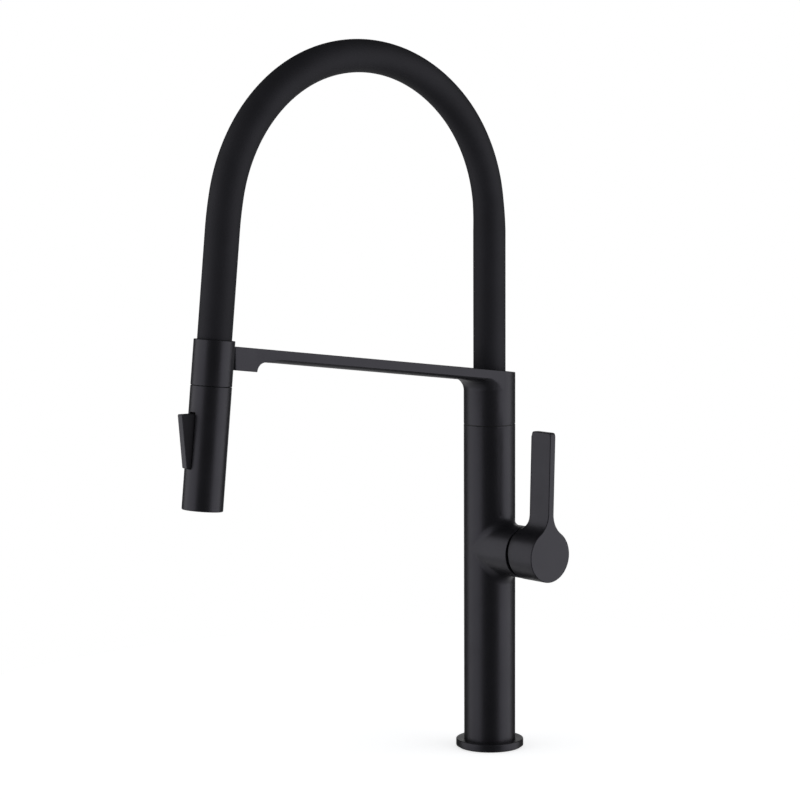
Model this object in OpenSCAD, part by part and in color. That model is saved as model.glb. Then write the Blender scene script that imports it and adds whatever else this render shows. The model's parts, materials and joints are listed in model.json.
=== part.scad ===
// Pull-down kitchen faucet with a hose arch on a swivelling docking arm.
// Millimetres, +Z up. The origin is on the column's axis at the deck.
// The spout side points to -Y and the lever to +X.

/* [Base] */
// Diameter of the round base flange
flange_d = 50; // [46:0.5:60]
// Height of the base flange
flange_h = 5.1; // [4:0.1:8]
// Diameter of the rubber gasket under the flange
gasket_d = 47; // [44:0.5:50]
// Thickness of the rubber gasket
gasket_t = 1; // [0.8:0.1:2]
// Thread diameter of the mounting shank
shank_d = 28; // [24:0.5:29]
// Height of the threaded brass foot inside the column
foot_h = 16; // [10:1:25]

/* [Column] */
// Diameter of the column, the collar and the side boss
column_d = 38; // [36:0.5:42]
// Wall of the column
column_wall = 2.5; // [2:0.1:2.8]
// Height of the column above the gasket
column_h = 240.4; // [225:0.1:260]
// Radius of the fillet between the column and the side boss
boss_fillet_r = 8.5; // [6:0.5:10]

/* [Side boss and valve] */
// Height of the side boss's axis above the deck
valve_z = 150.3; // [130:0.1:160]
// Distance from the column's axis to the end of the boss
boss_reach = 38; // [36:0.1:44]
// Distance from the column's axis to the seat of the cartridge's flange
cartridge_seat_x = 22; // [21:0.5:23]
// Distance from the column's axis to the lever's tilt axis
pivot_x = 24; // [23.5:0.1:24.5]
// Diameter of the cartridge
cartridge_d = 25; // [24:0.1:25.6]
// Thread diameter of the hot and cold inlets
inlet_d = 10; // [8:0.1:10.4]
// Depth of the inlet threads
inlet_depth = 12; // [8:0.5:14]
// Distance between the inlets' axes
inlet_spacing = 14; // [13:0.1:15]
// Diameter of the ceramic discs' ports
port_d = 3.6; // [3:0.1:4]
// Outer diameter of the copper outlet tube
outlet_d = 10; // [8:0.5:11]

/* [Lever] */
// Diameter of the lever's cap
cap_d = 38.3; // [36.5:0.1:39]
// Wall of the lever's cap
cap_wall = 2.4; // [2:0.1:2.8]
// Gap between the boss and the cap, on their axis
cap_gap = 2.6; // [2.6:0.1:3.4]
// Slant of the cap's rim, wider at the bottom so that the lever can tilt
cap_slant = 4; // [4:0.1:5]
// Distance from the column's axis to the cap's face
lever_reach = 65.1; // [63:0.1:70]
// Height of the blade's top above the cap's axis
blade_top = 89.7; // [70:0.1:110]
// Thickness of the blade
blade_t = 5.3; // [4:0.1:8]
// Width of the blade, along the cap's axis
blade_w = 20; // [12:0.1:20]
// Radius of the fillets between the blade's broad sides and the cap
blade_fillet_r = 17.7; // [12:0.1:25]
// Radius of the fillet behind the blade
blade_back_r = 5.5; // [3:0.1:5.6]
// Radius of the blade's upper corners
blade_corner_r = 2.5; // [1:0.1:4]
// Angle at which the blade is set on its stem, off upright and away from the spout
lever_set = 1.7; // [0:0.1:5]
// Diameter of the lever's stem
stem_d = 7; // [6:0.1:7.2]

/* [Collar and arm] */
// Height of the collar's top on its axis, above the column's top
collar_h = 39.7; // [38:0.1:50]
// Thickness of the slip ring between the column and the collar
slip_ring_t = 0.4; // [0.3:0.1:1]
// Diameter of the spigot that the collar turns on
spigot_d = 29; // [27:0.1:29.6]
// Radial running clearance of the collar on its spigot
swivel_clearance = 0.05; // [0.03:0.01:0.1]
// Height of the spigot inside the collar
spigot_h = 27; // [26:0.1:27.6]
// How far the docking ring's top stands above the arm's top plane, along the sprayer
ring_above_arm = 5.2; // [4:0.1:9]
// Thickness of the arm
arm_t = 9.1; // [8.5:0.1:10]
// Width of the arm's tip
arm_tip_w = 9.6; // [9.4:0.1:14]
// Radius of the arm's lower edges
arm_edge_r = 3; // [1.5:0.1:4]
// Radius of the fillet under the arm, at the collar
arm_root_r = 9.5; // [6:0.1:12]
// Length of the block at the arm's tip
tip_block_l = 19.6; // [18:0.1:26]
// How far the tip block reaches below the arm
tip_block_drop = 7.1; // [6:0.1:9]
// Diameter of the docking magnet
magnet_d = 8; // [6:0.1:8.4]
// Length of the docking magnet
magnet_l = 6; // [4:0.1:8]

/* [Hose] */
// Outer diameter of the silicone sleeve at its ends
sleeve_d = 23.7; // [23:0.1:24.2]
// Outer diameter of the silicone sleeve just past the riser, where it is narrowest
sleeve_bend_d = 22.6; // [22:0.1:24]
// Wall of the silicone sleeve
sleeve_wall = 1.9; // [1.5:0.1:2]
// Outer diameter of the inner hose
hose_d = 12; // [11:0.1:13]
// Wall of the inner hose
hose_wall = 2; // [1.5:0.1:2.2]
// Height above the collar's top at which the hose starts to bend
straight_h = 101.9; // [95:0.1:115]
// Angles that the hose's five bends turn through, from the riser on
bend_a = [6.3, 41, 56, 64.8, 6];
// Radii of the five bends
bend_r = [200, 112.5, 125.8, 117.4, 240];
// Length of the hose's straight end above the docking ring
hose_end_l = 73.5; // [60:0.1:90]

/* [Sprayer] */
// Diameter of the docking ring and the wand
wand_d = 28.2; // [28:0.1:30]
// Length of the docking ring
ring_l = 31; // [29:0.1:36]
// Gap between the docking ring and the wand
ring_gap = 0.3; // [0.2:0.05:0.5]
// Length of the wand
wand_l = 84.3; // [82:0.1:95]
// Wall of the wand's shell
wand_wall = 2.6; // [2.2:0.1:2.8]
// Diameter of the swivel's stem
swivel_d = 10; // [9:0.1:10.6]
// Number of nozzles in the outer ring of the spray face
outer_nozzles = 18; // [12:1:20]
// Number of nozzles in the inner ring of the spray face
inner_nozzles = 12; // [8:1:12]

/* [Trigger] */
// Distance from the wand's top to the trigger's top
trigger_top = 18.9; // [15:0.1:20]
// Length of the trigger
trigger_l = 37.2; // [32:0.1:38]
// Width of the trigger
trigger_w = 5.1; // [4.5:0.1:6]
// How far the trigger's upper end stands out
trigger_out_top = 10.4; // [8:0.1:12]
// How far the trigger's lower end stands out
trigger_out_bottom = 3.3; // [2.5:0.1:4.5]
// Gap round the trigger in its slot
trigger_gap = 0.5; // [0.4:0.05:0.6]
// Diameter of the trigger's pin
trigger_pin_d = 2.4; // [2:0.1:2.6]

/* [Hidden] */
$fn = 96;

// Clearance of a fixed fit, of a part that turns or slides, of a thread, and round a loose part
fit = 0.05;
run = 0.05;
thread_fit = 0.02;
loose = 0.3;
// How far a trim ring stands back from the face beside it
face_step = 0.4;
// Small overlap of cutting shapes past a face
cut = 1;
// How far a fillet sinks into the surface that it runs out on
sink = 0.02;

black = "#343437";
soft_black = "#232325";
brass = "#b8924a";
plastic = "#d8d5cc";
ceramic = "#e9e7e0";
rubber = "#1b1b1d";
steel = "#a6a8ab";
copper = "#b56d45";

// Base and column
column_r = column_d / 2;
bore_r = column_r - column_wall;
column_top = gasket_t + column_h;

// Valve, seen along +X from the column's axis
cartridge_r = cartridge_d / 2;
cartridge_l = 20;
pocket_floor_x = cartridge_seat_x - cartridge_l;
seal_t = 1;
cartridge_base_x = pocket_floor_x + seal_t;
cartridge_base_t = 3;
disc_t = 3;
disc_x = cartridge_base_x + cartridge_base_t;
moving_disc_x = disc_x + disc_t;
carrier_x = moving_disc_x + disc_t + loose;
cartridge_cavity_r = cartridge_r - 2.1;
carrier_r = cartridge_cavity_r - run;
cartridge_end_x = pivot_x + 5;
carrier_end_x = cartridge_end_x + 2;
neck_r = carrier_r - 1.7;
lip_x = cartridge_end_x - 2;
flange_t = 3;
nut_x = cartridge_seat_x + flange_t;
nut_t = 9;
trim_x = nut_x + nut_t;
thread_r = bore_r - fit;
block_r = bore_r - 0.1;
block_below = 29;
block_above = 29;
outlet_seat = 8;
port_y = 6;
port_z = 3;
outlet_port_z = 5;
passage_r = 2;
passage_x = pocket_floor_x - 6;
stem_r = stem_d / 2;
stem_ball_r = 4;
stem_tip_r = 2;
stem_pin_r = 1.25;
stem_play = 1.8;
stem_hole_r = stem_r + stem_play;

// Lever
cap_r = cap_d / 2;
cap_x = boss_reach + cap_gap;
cap_inner_r = cap_r - cap_wall;
cap_face_t = 4.5;
hub_wall = 3.5;
hub_r = stem_r + hub_wall;
stem_end_x = lever_reach - cap_face_t - 3;
screw_x = stem_end_x - 6;
screw_r = 2.5;
screw_l = 6;
screw_wall = 1.8;
screw_boss_r = screw_r + screw_wall;
hub_inset = 6;
hub_x = min(cap_x + hub_inset, screw_x - screw_boss_r);
plug_t = 2;
blade_fillet_z = sqrt((cap_r + blade_fillet_r - sink) ^ 2 - (blade_t / 2 + blade_fillet_r) ^ 2);

// Collar and arm, in the plane of the spout: u runs out from the column's axis
collar_z = column_top + slip_ring_t;
collar_top = column_top + collar_h + slip_ring_t;
spigot_r = spigot_d / 2;
collar_bore_r = spigot_r + swivel_clearance;
spigot_top = column_top + spigot_h;
collar_bore_top = spigot_top + 1.5;
spigot_bore_r = outlet_d / 2 - 1;
spigot_foot_l = 17;
seal_wire_r = 0.95;
seal_r = spigot_r - seal_wire_r + 0.03;
groove_w = 2.4;
groove_r = seal_r - seal_wire_r;
lower_seal_z = column_top + 6;
upper_seal_z = spigot_top - 5;
screw_groove_z = (lower_seal_z + upper_seal_z) / 2;
screw_groove_w = 5;
screw_groove_r = spigot_r - 1.5;
collar_screw_r = 2;
riser_r = sleeve_d / 2 - sleeve_wall - 0.1;
riser_wall = 2.2;
riser_thread_r = 8;
riser_seat_z = collar_bore_top + 6;
sleeve_seat_r = sleeve_d / 2 + loose;

// Hose: headings are measured from straight up, turning towards the spout side
bends = len(bend_a);
hose_start = [0, collar_top + straight_h];
lean = 180 - heading(bends);
hose_turned = arch_point(bends);
ring_top = hose_turned + hose_end_l * [sin(lean), -cos(lean)];
hose_inner_r = hose_d / 2 - hose_wall;
nipple_z = collar_bore_top + 0.5;
nipple_r = 6.4;
nipple_body_l = 8;
ferrule_l = 9;
ferrule_wall = 0.9;
barb_l = 14;
barb_r = hose_inner_r - 0.15;
waterway_r = barb_r - 1.2;

// Sprayer, along its own axis from the docking ring's top down
wand_r = wand_d / 2;
sleeve_depth = 3;
hose_depth = 7;
ring_bore_r = 8.5;
neck_bore_r = wand_r - wand_wall;
nut_r = neck_bore_r - run;
nut_top = 16;
ledge_z = nut_top - 0.4;
nut_end = ring_l + ring_gap + 9;
wand_top = ring_l + ring_gap;
wand_end = wand_top + wand_l;
swivel_r = swivel_d / 2;
swivel_flange_z = 25;
swivel_flange_t = 2;
swivel_flange_r = swivel_r + 2.2;
core_top = swivel_flange_z + swivel_flange_t + 0.2;
swivel_seal_z = core_top + 5;
core_r = 6.8;
core_socket_r = 3.6;
socket_depth = 10;
core_foot_t = 8;
face_t = 3.5;
mat_t = 2;
tip_proud = 0.4;
face_z = wand_end - face_t - 0.6;
mat_z = face_z - mat_t;
core_foot_z = mat_z - core_foot_t;
outer_ring_r = 9.4;
inner_ring_r = 7;
nozzle_r = 0.75;
aerator_r = 4.6;

// Trigger, in the sprayer's frame: x points outwards, away from the column
trigger_z = wand_top + trigger_top;
trigger_end = trigger_z + trigger_l;
pin_inset = 3.6;
pin_x = wand_r - pin_inset;
pin_depth = trigger_end - 3;
pin_wall = 2.6;
foot_x = pin_x - pin_wall;
trigger_sunk = 1.7;
trigger_back_x = wand_r - trigger_sunk;
cheek_t = 2.4;
cheek_h = 10;
cheek_gap = 0.6;
plunger_drop = 11;
plunger_depth = trigger_z + plunger_drop;
plunger_r = 1.5;

// Docking
dock_r = wand_r + loose;
arm_run = ring_top[0] - wand_r;
// Where the arm's straight sides start, inside the collar's wall
arm_start_u = 1;
plane_rise = (ring_top[1] - ring_above_arm * cos(lean) - collar_top) / arm_run;
block_h = arm_t + tip_block_drop;
ring_mid = ring_above_arm + block_h / 2;
// How far cutting shapes reach over the arm's top plane, and the block's outline into the saddle
over_plane = 4;
into_saddle = 3;
magnet_recess = 1.5;
block_end_u = ring_top[0] + ring_mid * sin(lean) - wand_r;
block_start_u = block_end_u - tip_block_l;
keeper_skin = 0.6;
keeper_t = wand_wall - keeper_skin;

function heading(i) = i == 0 ? 0 : heading(i - 1) + bend_a[i - 1];
function arch_point(i) = i == 0
    ? hose_start
    : on_bend(i - 1, heading(i));
// Point of bend i at which the hose heads t degrees away from straight up
function on_bend(i, t) = arch_point(i) + bend_r[i] * [cos(heading(i)) - cos(t), sin(t) - sin(heading(i))];
// Height of the arm's inclined top plane
function arm_plane(u) = collar_top + plane_rise * u;
// Half the arm's width, tapering from the collar to the tip
function arm_half_w(u) = column_r + (arm_tip_w / 2 - column_r) * u / block_start_u;

// Places a shape drawn with x along the spout and z up
module along_spout() {
    rotate([0, 0, -90])
        children();
}

// Extrudes an outline of [u, z] points to both sides of the spout's plane
module side_slab(width) {
    translate([0, width / 2, 0])
        rotate([90, 0, 0])
            linear_extrude(width)
                children();
}

// A cylinder from x to x along the side boss's axis
module boss_rod(x0, x1, r) {
    translate([x0, 0, valve_z])
        rotate([0, 90, 0])
            cylinder(r = r, h = x1 - x0);
}

// Places a shape drawn with z up on the sprayer's axis, 0 at the docking ring's top
module on_sprayer() {
    along_spout()
        translate([ring_top[0], 0, ring_top[1]])
            rotate([0, -lean, 0])
                children();
}

// A cylinder on the sprayer's axis, between two depths below the ring's top
module sprayer_rod(top, bottom, r) {
    translate([0, 0, -bottom])
        cylinder(r = r, h = bottom - top);
}

// Rolling-ball fillet between the column and the boss, two cylinders of radius column_r
module boss_fillet() {
    steps = 20;
    arcs = 6;
    reach = column_r + boss_fillet_r;
    // Angle round the column at which a cross-section stands
    function at(i) = -78 + 156 * i / steps;
    // Direction from the ball's centre, turning from the column to the boss
    function dir(t, k) =
        let (a = [-cos(t), -sin(t), 0], b = [0, -sin(t), -cos(t)], w = acos(sin(t) ^ 2), s = k / arcs)
        (sin((1 - s) * w) * a + sin(s * w) * b) / sin(w);
    function ball(t) = [reach * cos(t), reach * sin(t), reach * cos(t)];
    section_n = arcs + 2;
    points = [for (i = [0 : steps]) each [
        for (k = [0 : arcs]) ball(at(i)) + (boss_fillet_r + (k == 0 || k == arcs ? sink : 0)) * dir(at(i), k),
        ball(at(i)) + (boss_fillet_r + 2) * [-cos(at(i)), -2 * sin(at(i)), -cos(at(i))]]];
    sides = [for (i = [0 : steps - 1], k = [0 : section_n - 1])
        let (a = i * section_n + k, b = i * section_n + (k + 1) % section_n)
        each [[a, a + section_n, b], [b, a + section_n, b + section_n]]];
    start = [for (k = [0 : section_n - 1]) k];
    finish = [for (k = [section_n - 1 : -1 : 0]) steps * section_n + k];
    polyhedron(points, concat(sides, [start, finish]));
}

module base_gasket() {
    color(rubber)
        difference() {
            cylinder(d = gasket_d, h = gasket_t);
            translate([0, 0, -cut])
                cylinder(r = thread_r + loose, h = gasket_t + 2 * cut);
        }
}

module base_flange() {
    edge_r = 0.6;
    color(black)
        rotate_extrude()
            difference() {
                translate([column_r + fit, gasket_t])
                    square([flange_d / 2 - column_r - fit, flange_h]);
                translate([flange_d / 2 - edge_r, gasket_t + flange_h - edge_r])
                    difference() {
                        square(edge_r + cut);
                        circle(r = edge_r);
                    }
            }
}

// Brass foot that takes the mounting shank; it stands on the deck inside the gasket
module foot_insert() {
    color(brass)
        difference() {
            cylinder(r = thread_r, h = foot_h);
            translate([0, 0, -cut])
                cylinder(d = shank_d, h = foot_h + 2 * cut);
        }
}

module column() {
    color(black)
        difference() {
            union() {
                translate([0, 0, gasket_t])
                    cylinder(r = column_r, h = column_h);
                boss_rod(0, boss_reach, column_r);
                translate([0, 0, valve_z])
                    boss_fillet();
                translate([0, 0, valve_z])
                    mirror([0, 0, 1])
                        boss_fillet();
            }
            translate([0, 0, gasket_t - cut])
                cylinder(r = bore_r, h = column_h + 2 * cut);
            boss_rod(0, cartridge_seat_x + cut, cartridge_r + fit);
            boss_rod(cartridge_seat_x, boss_reach + cut, bore_r);
        }
}

// Brass body with the cartridge's pocket, the inlets below and the outlet above
module valve_block() {
    color(brass)
        difference() {
            translate([0, 0, valve_z - block_below])
                cylinder(r = block_r, h = block_below + block_above);
            boss_rod(pocket_floor_x, column_r, cartridge_r + fit);
            for (side = [-1, 1]) {
                translate([passage_x, side * inlet_spacing / 2, valve_z - block_below - cut])
                    cylinder(d = inlet_d, h = inlet_depth + cut);
                translate([passage_x, side * port_y, valve_z - block_below + inlet_depth - cut])
                    cylinder(r = passage_r, h = block_below - inlet_depth - port_z + cut);
                translate([passage_x, side * port_y, valve_z - port_z])
                    rotate([0, 90, 0])
                        cylinder(r = passage_r, h = pocket_floor_x - passage_x + cut);
            }
            translate([passage_x, 0, valve_z + outlet_port_z])
                rotate([0, 90, 0])
                    cylinder(r = passage_r, h = pocket_floor_x - passage_x + cut);
            translate([passage_x, 0, valve_z + outlet_port_z - passage_r])
                cylinder(r = passage_r, h = block_above);
            translate([0, 0, valve_z + block_above - outlet_seat])
                cylinder(d = outlet_d + 2 * fit, h = outlet_seat + cut);
        }
}

module outlet_tube() {
    bottom = valve_z + block_above - outlet_seat;
    top = column_top - spigot_foot_l + outlet_seat;
    color(copper)
        translate([0, 0, bottom])
            difference() {
                cylinder(d = outlet_d, h = top - bottom);
                translate([0, 0, -cut])
                    cylinder(d = outlet_d - 2, h = top - bottom + 2 * cut);
            }
}

// A flat sealing ring between the valve block and one of the cartridge's ports
module port_seal(y, z) {
    color(rubber)
        translate([pocket_floor_x, y, valve_z + z])
            rotate([0, 90, 0])
                difference() {
                    cylinder(r = port_d / 2 + 0.9, h = seal_t, $fn = 48);
                    translate([0, 0, -cut])
                        cylinder(d = port_d, h = seal_t + 2 * cut, $fn = 48);
                }
}

// The three ports of a disc or a cartridge base, as a cutting shape
module port_holes(x, length) {
    for (at = [[-port_y, -port_z], [port_y, -port_z], [0, outlet_port_z]])
        translate([x - cut, at[0], valve_z + at[1]])
            rotate([0, 90, 0])
                cylinder(d = port_d, h = length + 2 * cut, $fn = 48);
}

module cartridge_body() {
    color(plastic)
        difference() {
            union() {
                boss_rod(cartridge_base_x, cartridge_end_x, cartridge_r);
                boss_rod(cartridge_seat_x, nut_x, bore_r - fit);
            }
            port_holes(cartridge_base_x, cartridge_base_t);
            boss_rod(disc_x, lip_x, cartridge_cavity_r);
            boss_rod(lip_x - cut, cartridge_end_x + cut, neck_r + 0.2);
        }
}

module fixed_disc() {
    color(ceramic)
        difference() {
            boss_rod(disc_x, moving_disc_x, cartridge_cavity_r - fit);
            port_holes(disc_x, disc_t);
        }
}

// The moving disc joins the ports through the hollow in its underside
module moving_disc() {
    color(ceramic)
        difference() {
            boss_rod(moving_disc_x, moving_disc_x + disc_t, cartridge_cavity_r - 2.6);
            boss_rod(moving_disc_x - cut, moving_disc_x + 1, cartridge_cavity_r - 6);
            boss_rod(moving_disc_x + 1.6, moving_disc_x + disc_t + cut, stem_tip_r + loose);
        }
}

module cartridge_carrier() {
    color(plastic)
        difference() {
            union() {
                boss_rod(carrier_x, lip_x - loose, carrier_r);
                boss_rod(lip_x - 1, carrier_end_x, neck_r);
            }
            boss_rod(carrier_x - cut, carrier_end_x + cut, stem_hole_r);
            stem_pin_shape(stem_pin_r, 2 * carrier_r);
        }
}

// The stem's pin, across the boss's axis
module stem_pin_shape(r, length) {
    translate([pivot_x, length / 2, valve_z])
        rotate([90, 0, 0])
            cylinder(r = r, h = length, $fn = 48);
}

module stem_pin() {
    color(steel)
        stem_pin_shape(stem_pin_r, 2 * neck_r);
}

module lever_stem() {
    tip_x = moving_disc_x + 1.8;
    color(steel)
        difference() {
            union() {
                boss_rod(pivot_x, stem_end_x, stem_r);
                translate([pivot_x, 0, valve_z])
                    sphere(r = stem_ball_r);
                boss_rod(tip_x + stem_tip_r, pivot_x, stem_tip_r - 0.4);
                translate([tip_x + stem_tip_r, 0, valve_z])
                    sphere(r = stem_tip_r);
            }
            stem_pin_shape(stem_pin_r + run, 4 * stem_r);
        }
}

module cartridge_nut() {
    color(brass)
        difference() {
            boss_rod(nut_x, trim_x, thread_r);
            boss_rod(nut_x - cut, trim_x + cut, cartridge_r + fit);
        }
}

module trim_ring() {
    color(black)
        difference() {
            boss_rod(trim_x, boss_reach - face_step, thread_r);
            boss_rod(trim_x - cut, boss_reach + cut, neck_r + 1);
        }
}

// Turns what is clamped on the stem about the boss's axis, to the angle that the blade is set at
module on_stem() {
    translate([0, 0, valve_z])
        rotate([-lever_set, 0, 0])
            translate([0, 0, -valve_z])
                children();
}

// The cap's and blade's outline from the front, with concave fillets between them
module lever_front() {
    fillet_x = blade_t / 2 + blade_fillet_r;
    circle(r = cap_r);
    difference() {
        polygon([[0, 0], [fillet_x, blade_fillet_z], [-fillet_x, blade_fillet_z]]);
        for (side = [-1, 1])
            translate([side * fillet_x, blade_fillet_z])
                circle(r = blade_fillet_r);
    }
    translate([-blade_t / 2, 0])
        square([blade_t, blade_top]);
}

// The lever's outline from the side: cap, blade and the fillet behind the blade
module lever_side() {
    back = lever_reach - blade_w;
    difference() {
        union() {
            translate([cap_x - cap_r * tan(cap_slant), -cap_r])
                square([lever_reach - cap_x + cap_r * tan(cap_slant), 2 * cap_r]);
            difference() {
                translate([back - blade_back_r, 0])
                    square([blade_w + blade_back_r, cap_r + blade_back_r]);
                translate([back - blade_back_r, cap_r + blade_back_r])
                    circle(r = blade_back_r);
            }
            difference() {
                translate([back, 0])
                    square([blade_w, blade_top]);
                for (x = [back, lever_reach])
                    translate([x, blade_top])
                        square(2 * blade_corner_r, center = true);
            }
            for (x = [back + blade_corner_r, lever_reach - blade_corner_r])
                translate([x, blade_top - blade_corner_r])
                    circle(r = blade_corner_r, $fn = 48);
            translate([back + blade_corner_r, 0])
                square([blade_w - 2 * blade_corner_r, blade_top]);
        }
        // Slanted rim: the gap to the boss widens towards the bottom
        translate([cap_x, 0])
            rotate(cap_slant)
                translate([-4 * cap_r, -2 * cap_r])
                    square([4 * cap_r, 4 * cap_r]);
    }
}

module lever() {
    color(black)
        on_stem()
            difference() {
                union() {
                    difference() {
                        translate([0, 0, valve_z])
                            intersection() {
                                rotate([90, 0, 90])
                                    linear_extrude(lever_reach)
                                        lever_front();
                                side_slab(4 * cap_r)
                                    lever_side();
                            }
                        boss_rod(boss_reach - cap_r, lever_reach - cap_face_t, cap_inner_r);
                    }
                    boss_rod(hub_x, lever_reach - cap_face_t + cut, hub_r);
                    translate([screw_x, 0, valve_z - cap_inner_r - cut / 2])
                        cylinder(r = screw_boss_r, h = cap_inner_r);
                }
                boss_rod(hub_x - cut, stem_end_x + fit, stem_r + fit);
                translate([screw_x, 0, valve_z - cap_r - cut])
                    cylinder(r = screw_r, h = cap_r + cut, $fn = 48);
            }
}

module lever_set_screw() {
    socket_r = 1.3;
    top = valve_z - stem_r;
    color(steel)
        on_stem()
            difference() {
                translate([screw_x, 0, top - screw_l])
                    cylinder(r = screw_r - thread_fit, h = screw_l, $fn = 48);
                translate([screw_x, 0, top - screw_l - cut])
                    cylinder(r = socket_r, h = 2.5 + cut, $fn = 6);
            }
}

module set_screw_plug() {
    color(black)
        on_stem()
            intersection() {
                translate([screw_x, 0, valve_z - cap_r - cut])
                    cylinder(r = screw_r - thread_fit, h = plug_t + cut, $fn = 48);
                boss_rod(screw_x - 2 * screw_r, screw_x + 2 * screw_r, cap_r - 0.1);
            }
}

module slip_ring() {
    color(rubber)
        translate([0, 0, column_top])
            difference() {
                cylinder(r = column_r - face_step, h = slip_ring_t);
                translate([0, 0, -cut])
                    cylinder(r = spigot_r + loose, h = slip_ring_t + 2 * cut);
            }
}

module swivel_spigot() {
    color(brass)
        difference() {
            union() {
                translate([0, 0, column_top - spigot_foot_l])
                    cylinder(r = thread_r, h = spigot_foot_l);
                translate([0, 0, column_top])
                    cylinder(r = spigot_r, h = spigot_h);
            }
            translate([0, 0, column_top - spigot_foot_l - cut])
                cylinder(r = spigot_bore_r, h = spigot_foot_l + spigot_h + 2 * cut);
            translate([0, 0, column_top - spigot_foot_l - cut])
                cylinder(d = outlet_d + 2 * fit, h = outlet_seat + cut);
            for (z = [lower_seal_z, upper_seal_z])
                ring_groove(z, groove_r, groove_w);
            ring_groove(screw_groove_z, screw_groove_r, screw_groove_w);
        }
}

// A square groove round the spigot, as a cutting shape
module ring_groove(z, r, width) {
    translate([0, 0, z - width / 2])
        difference() {
            cylinder(r = spigot_r + cut, h = width);
            translate([0, 0, -cut])
                cylinder(r = r, h = width + 2 * cut);
        }
}

module spigot_seal(z) {
    color(rubber)
        translate([0, 0, z])
            rotate_extrude()
                translate([seal_r, 0])
                    circle(r = seal_wire_r, $fn = 24);
}

// The outline of the arm's tip block from the side, and the notch behind it
module tip_outline() {
    notch = block_start_u - tip_block_drop;
    tip = block_end_u + into_saddle;
    difference() {
        polygon([
            [notch, arm_plane(notch) - block_h],
            [tip, arm_plane(tip) - block_h],
            [tip, arm_plane(tip) + over_plane],
            [notch, arm_plane(notch) + over_plane]]);
        translate([notch, arm_plane(notch) - block_h])
            circle(r = tip_block_drop);
    }
}

// The arm's plan: its sides run straight from the collar to the tip
module arm_plan() {
    tip = block_end_u + into_saddle + cut;
    polygon([
        [arm_start_u, -arm_half_w(arm_start_u)], [block_start_u, -arm_half_w(block_start_u)],
        [tip, -arm_tip_w / 2], [tip, arm_tip_w / 2],
        [block_start_u, arm_half_w(block_start_u)], [arm_start_u, arm_half_w(arm_start_u)]]);
}

// A cross-section of the arm below its top plane, with round lower edges
module arm_section(u) {
    translate([u, 0, arm_plane(u)])
        rotate([90, 0, 90])
            linear_extrude(sink)
                union() {
                    translate([-arm_half_w(u), -arm_t + arm_edge_r])
                        square([2 * arm_half_w(u), arm_t - arm_edge_r + over_plane]);
                    translate([-arm_half_w(u) + arm_edge_r, -arm_t])
                        square([2 * (arm_half_w(u) - arm_edge_r), arm_t]);
                    for (side = [-1, 1])
                        translate([side * (arm_half_w(u) - arm_edge_r), -arm_t + arm_edge_r])
                            circle(r = arm_edge_r, $fn = 32);
                }
}

// The arm: a collar that turns on the spigot, the rising arm and the tip block
module arm() {
    root_z = arm_plane(column_r + arm_root_r) - arm_t;
    top_z = arm_plane(ring_top[0]) + block_h;
    color(black)
        along_spout()
            difference() {
                union() {
                    translate([0, 0, collar_z])
                        cylinder(r = column_r, h = collar_h + 2 * over_plane);
                    hull() {
                        arm_section(arm_start_u);
                        arm_section(block_start_u);
                    }
                    intersection() {
                        translate([0, 0, collar_z])
                            linear_extrude(top_z - collar_z)
                                arm_plan();
                        union() {
                            side_slab(column_d)
                                tip_outline();
                            arm_root(root_z);
                        }
                    }
                }
                // The inclined top plane
                side_slab(2 * column_d)
                    polygon([
                        [-column_d, arm_plane(-column_d)], [ring_top[0], arm_plane(ring_top[0])],
                        [ring_top[0], top_z + column_d], [-column_d, top_z + column_d]]);
                // The saddle that holds the docking ring
                translate([ring_top[0], 0, ring_top[1]])
                    rotate([0, -lean, 0])
                        sprayer_rod(-ring_l, 2 * ring_l, dock_r);
                magnet_place()
                    cylinder(r = magnet_d / 2, h = magnet_l + 2 * magnet_recess);
                translate([0, 0, collar_z - cut])
                    cylinder(r = collar_bore_r, h = collar_bore_top - collar_z + cut);
                translate([0, 0, collar_bore_top - cut])
                    cylinder(r = riser_thread_r, h = collar_h);
                translate([0, 0, riser_seat_z])
                    cylinder(r = sleeve_seat_r, h = collar_h);
                collar_screw_place()
                    cylinder(r = collar_screw_r, h = column_r, $fn = 48);
            }
}

// The concave ring under the arm where it leaves the collar
module arm_root(z) {
    translate([0, 0, z - arm_root_r])
        rotate_extrude()
            difference() {
                translate([column_r - cut, 0])
                    square([arm_root_r + cut, arm_root_r]);
                translate([column_r + arm_root_r, 0])
                    circle(r = arm_root_r);
            }
}

// The magnet's axis: from inside the tip block to its saddle
module magnet_place() {
    translate([ring_top[0], 0, ring_top[1]])
        rotate([0, -lean, 0])
            translate([-wand_r - magnet_l - magnet_recess, 0, -ring_mid])
                rotate([0, 90, 0])
                    children();
}

module dock_magnet() {
    color(steel)
        along_spout()
            magnet_place()
                cylinder(r = magnet_d / 2 - thread_fit, h = magnet_l);
}

// The collar's grub screw, at the back, pointing to the spigot's groove
module collar_screw_place() {
    translate([-screw_groove_r - 0.4, 0, screw_groove_z])
        rotate([0, -90, 0])
            children();
}

module collar_set_screw() {
    color(steel)
        along_spout()
            collar_screw_place()
                difference() {
                    cylinder(r = collar_screw_r - thread_fit, h = 5, $fn = 48);
                    translate([0, 0, 3])
                        cylinder(r = 1.1, h = 2 + cut, $fn = 6);
                }
}

module riser_tube() {
    top = hose_start[1] - 2;
    color(steel)
        difference() {
            union() {
                translate([0, 0, collar_bore_top])
                    cylinder(r = riser_thread_r - thread_fit, h = 8);
                translate([0, 0, riser_seat_z])
                    cylinder(r = riser_r, h = top - riser_seat_z);
            }
            translate([0, 0, collar_bore_top - cut])
                cylinder(r = nipple_r + thread_fit, h = nipple_body_l + 2 * cut);
            translate([0, 0, riser_seat_z + 1])
                cylinder(r = riser_r - riser_wall, h = top - riser_seat_z);
        }
}

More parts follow.
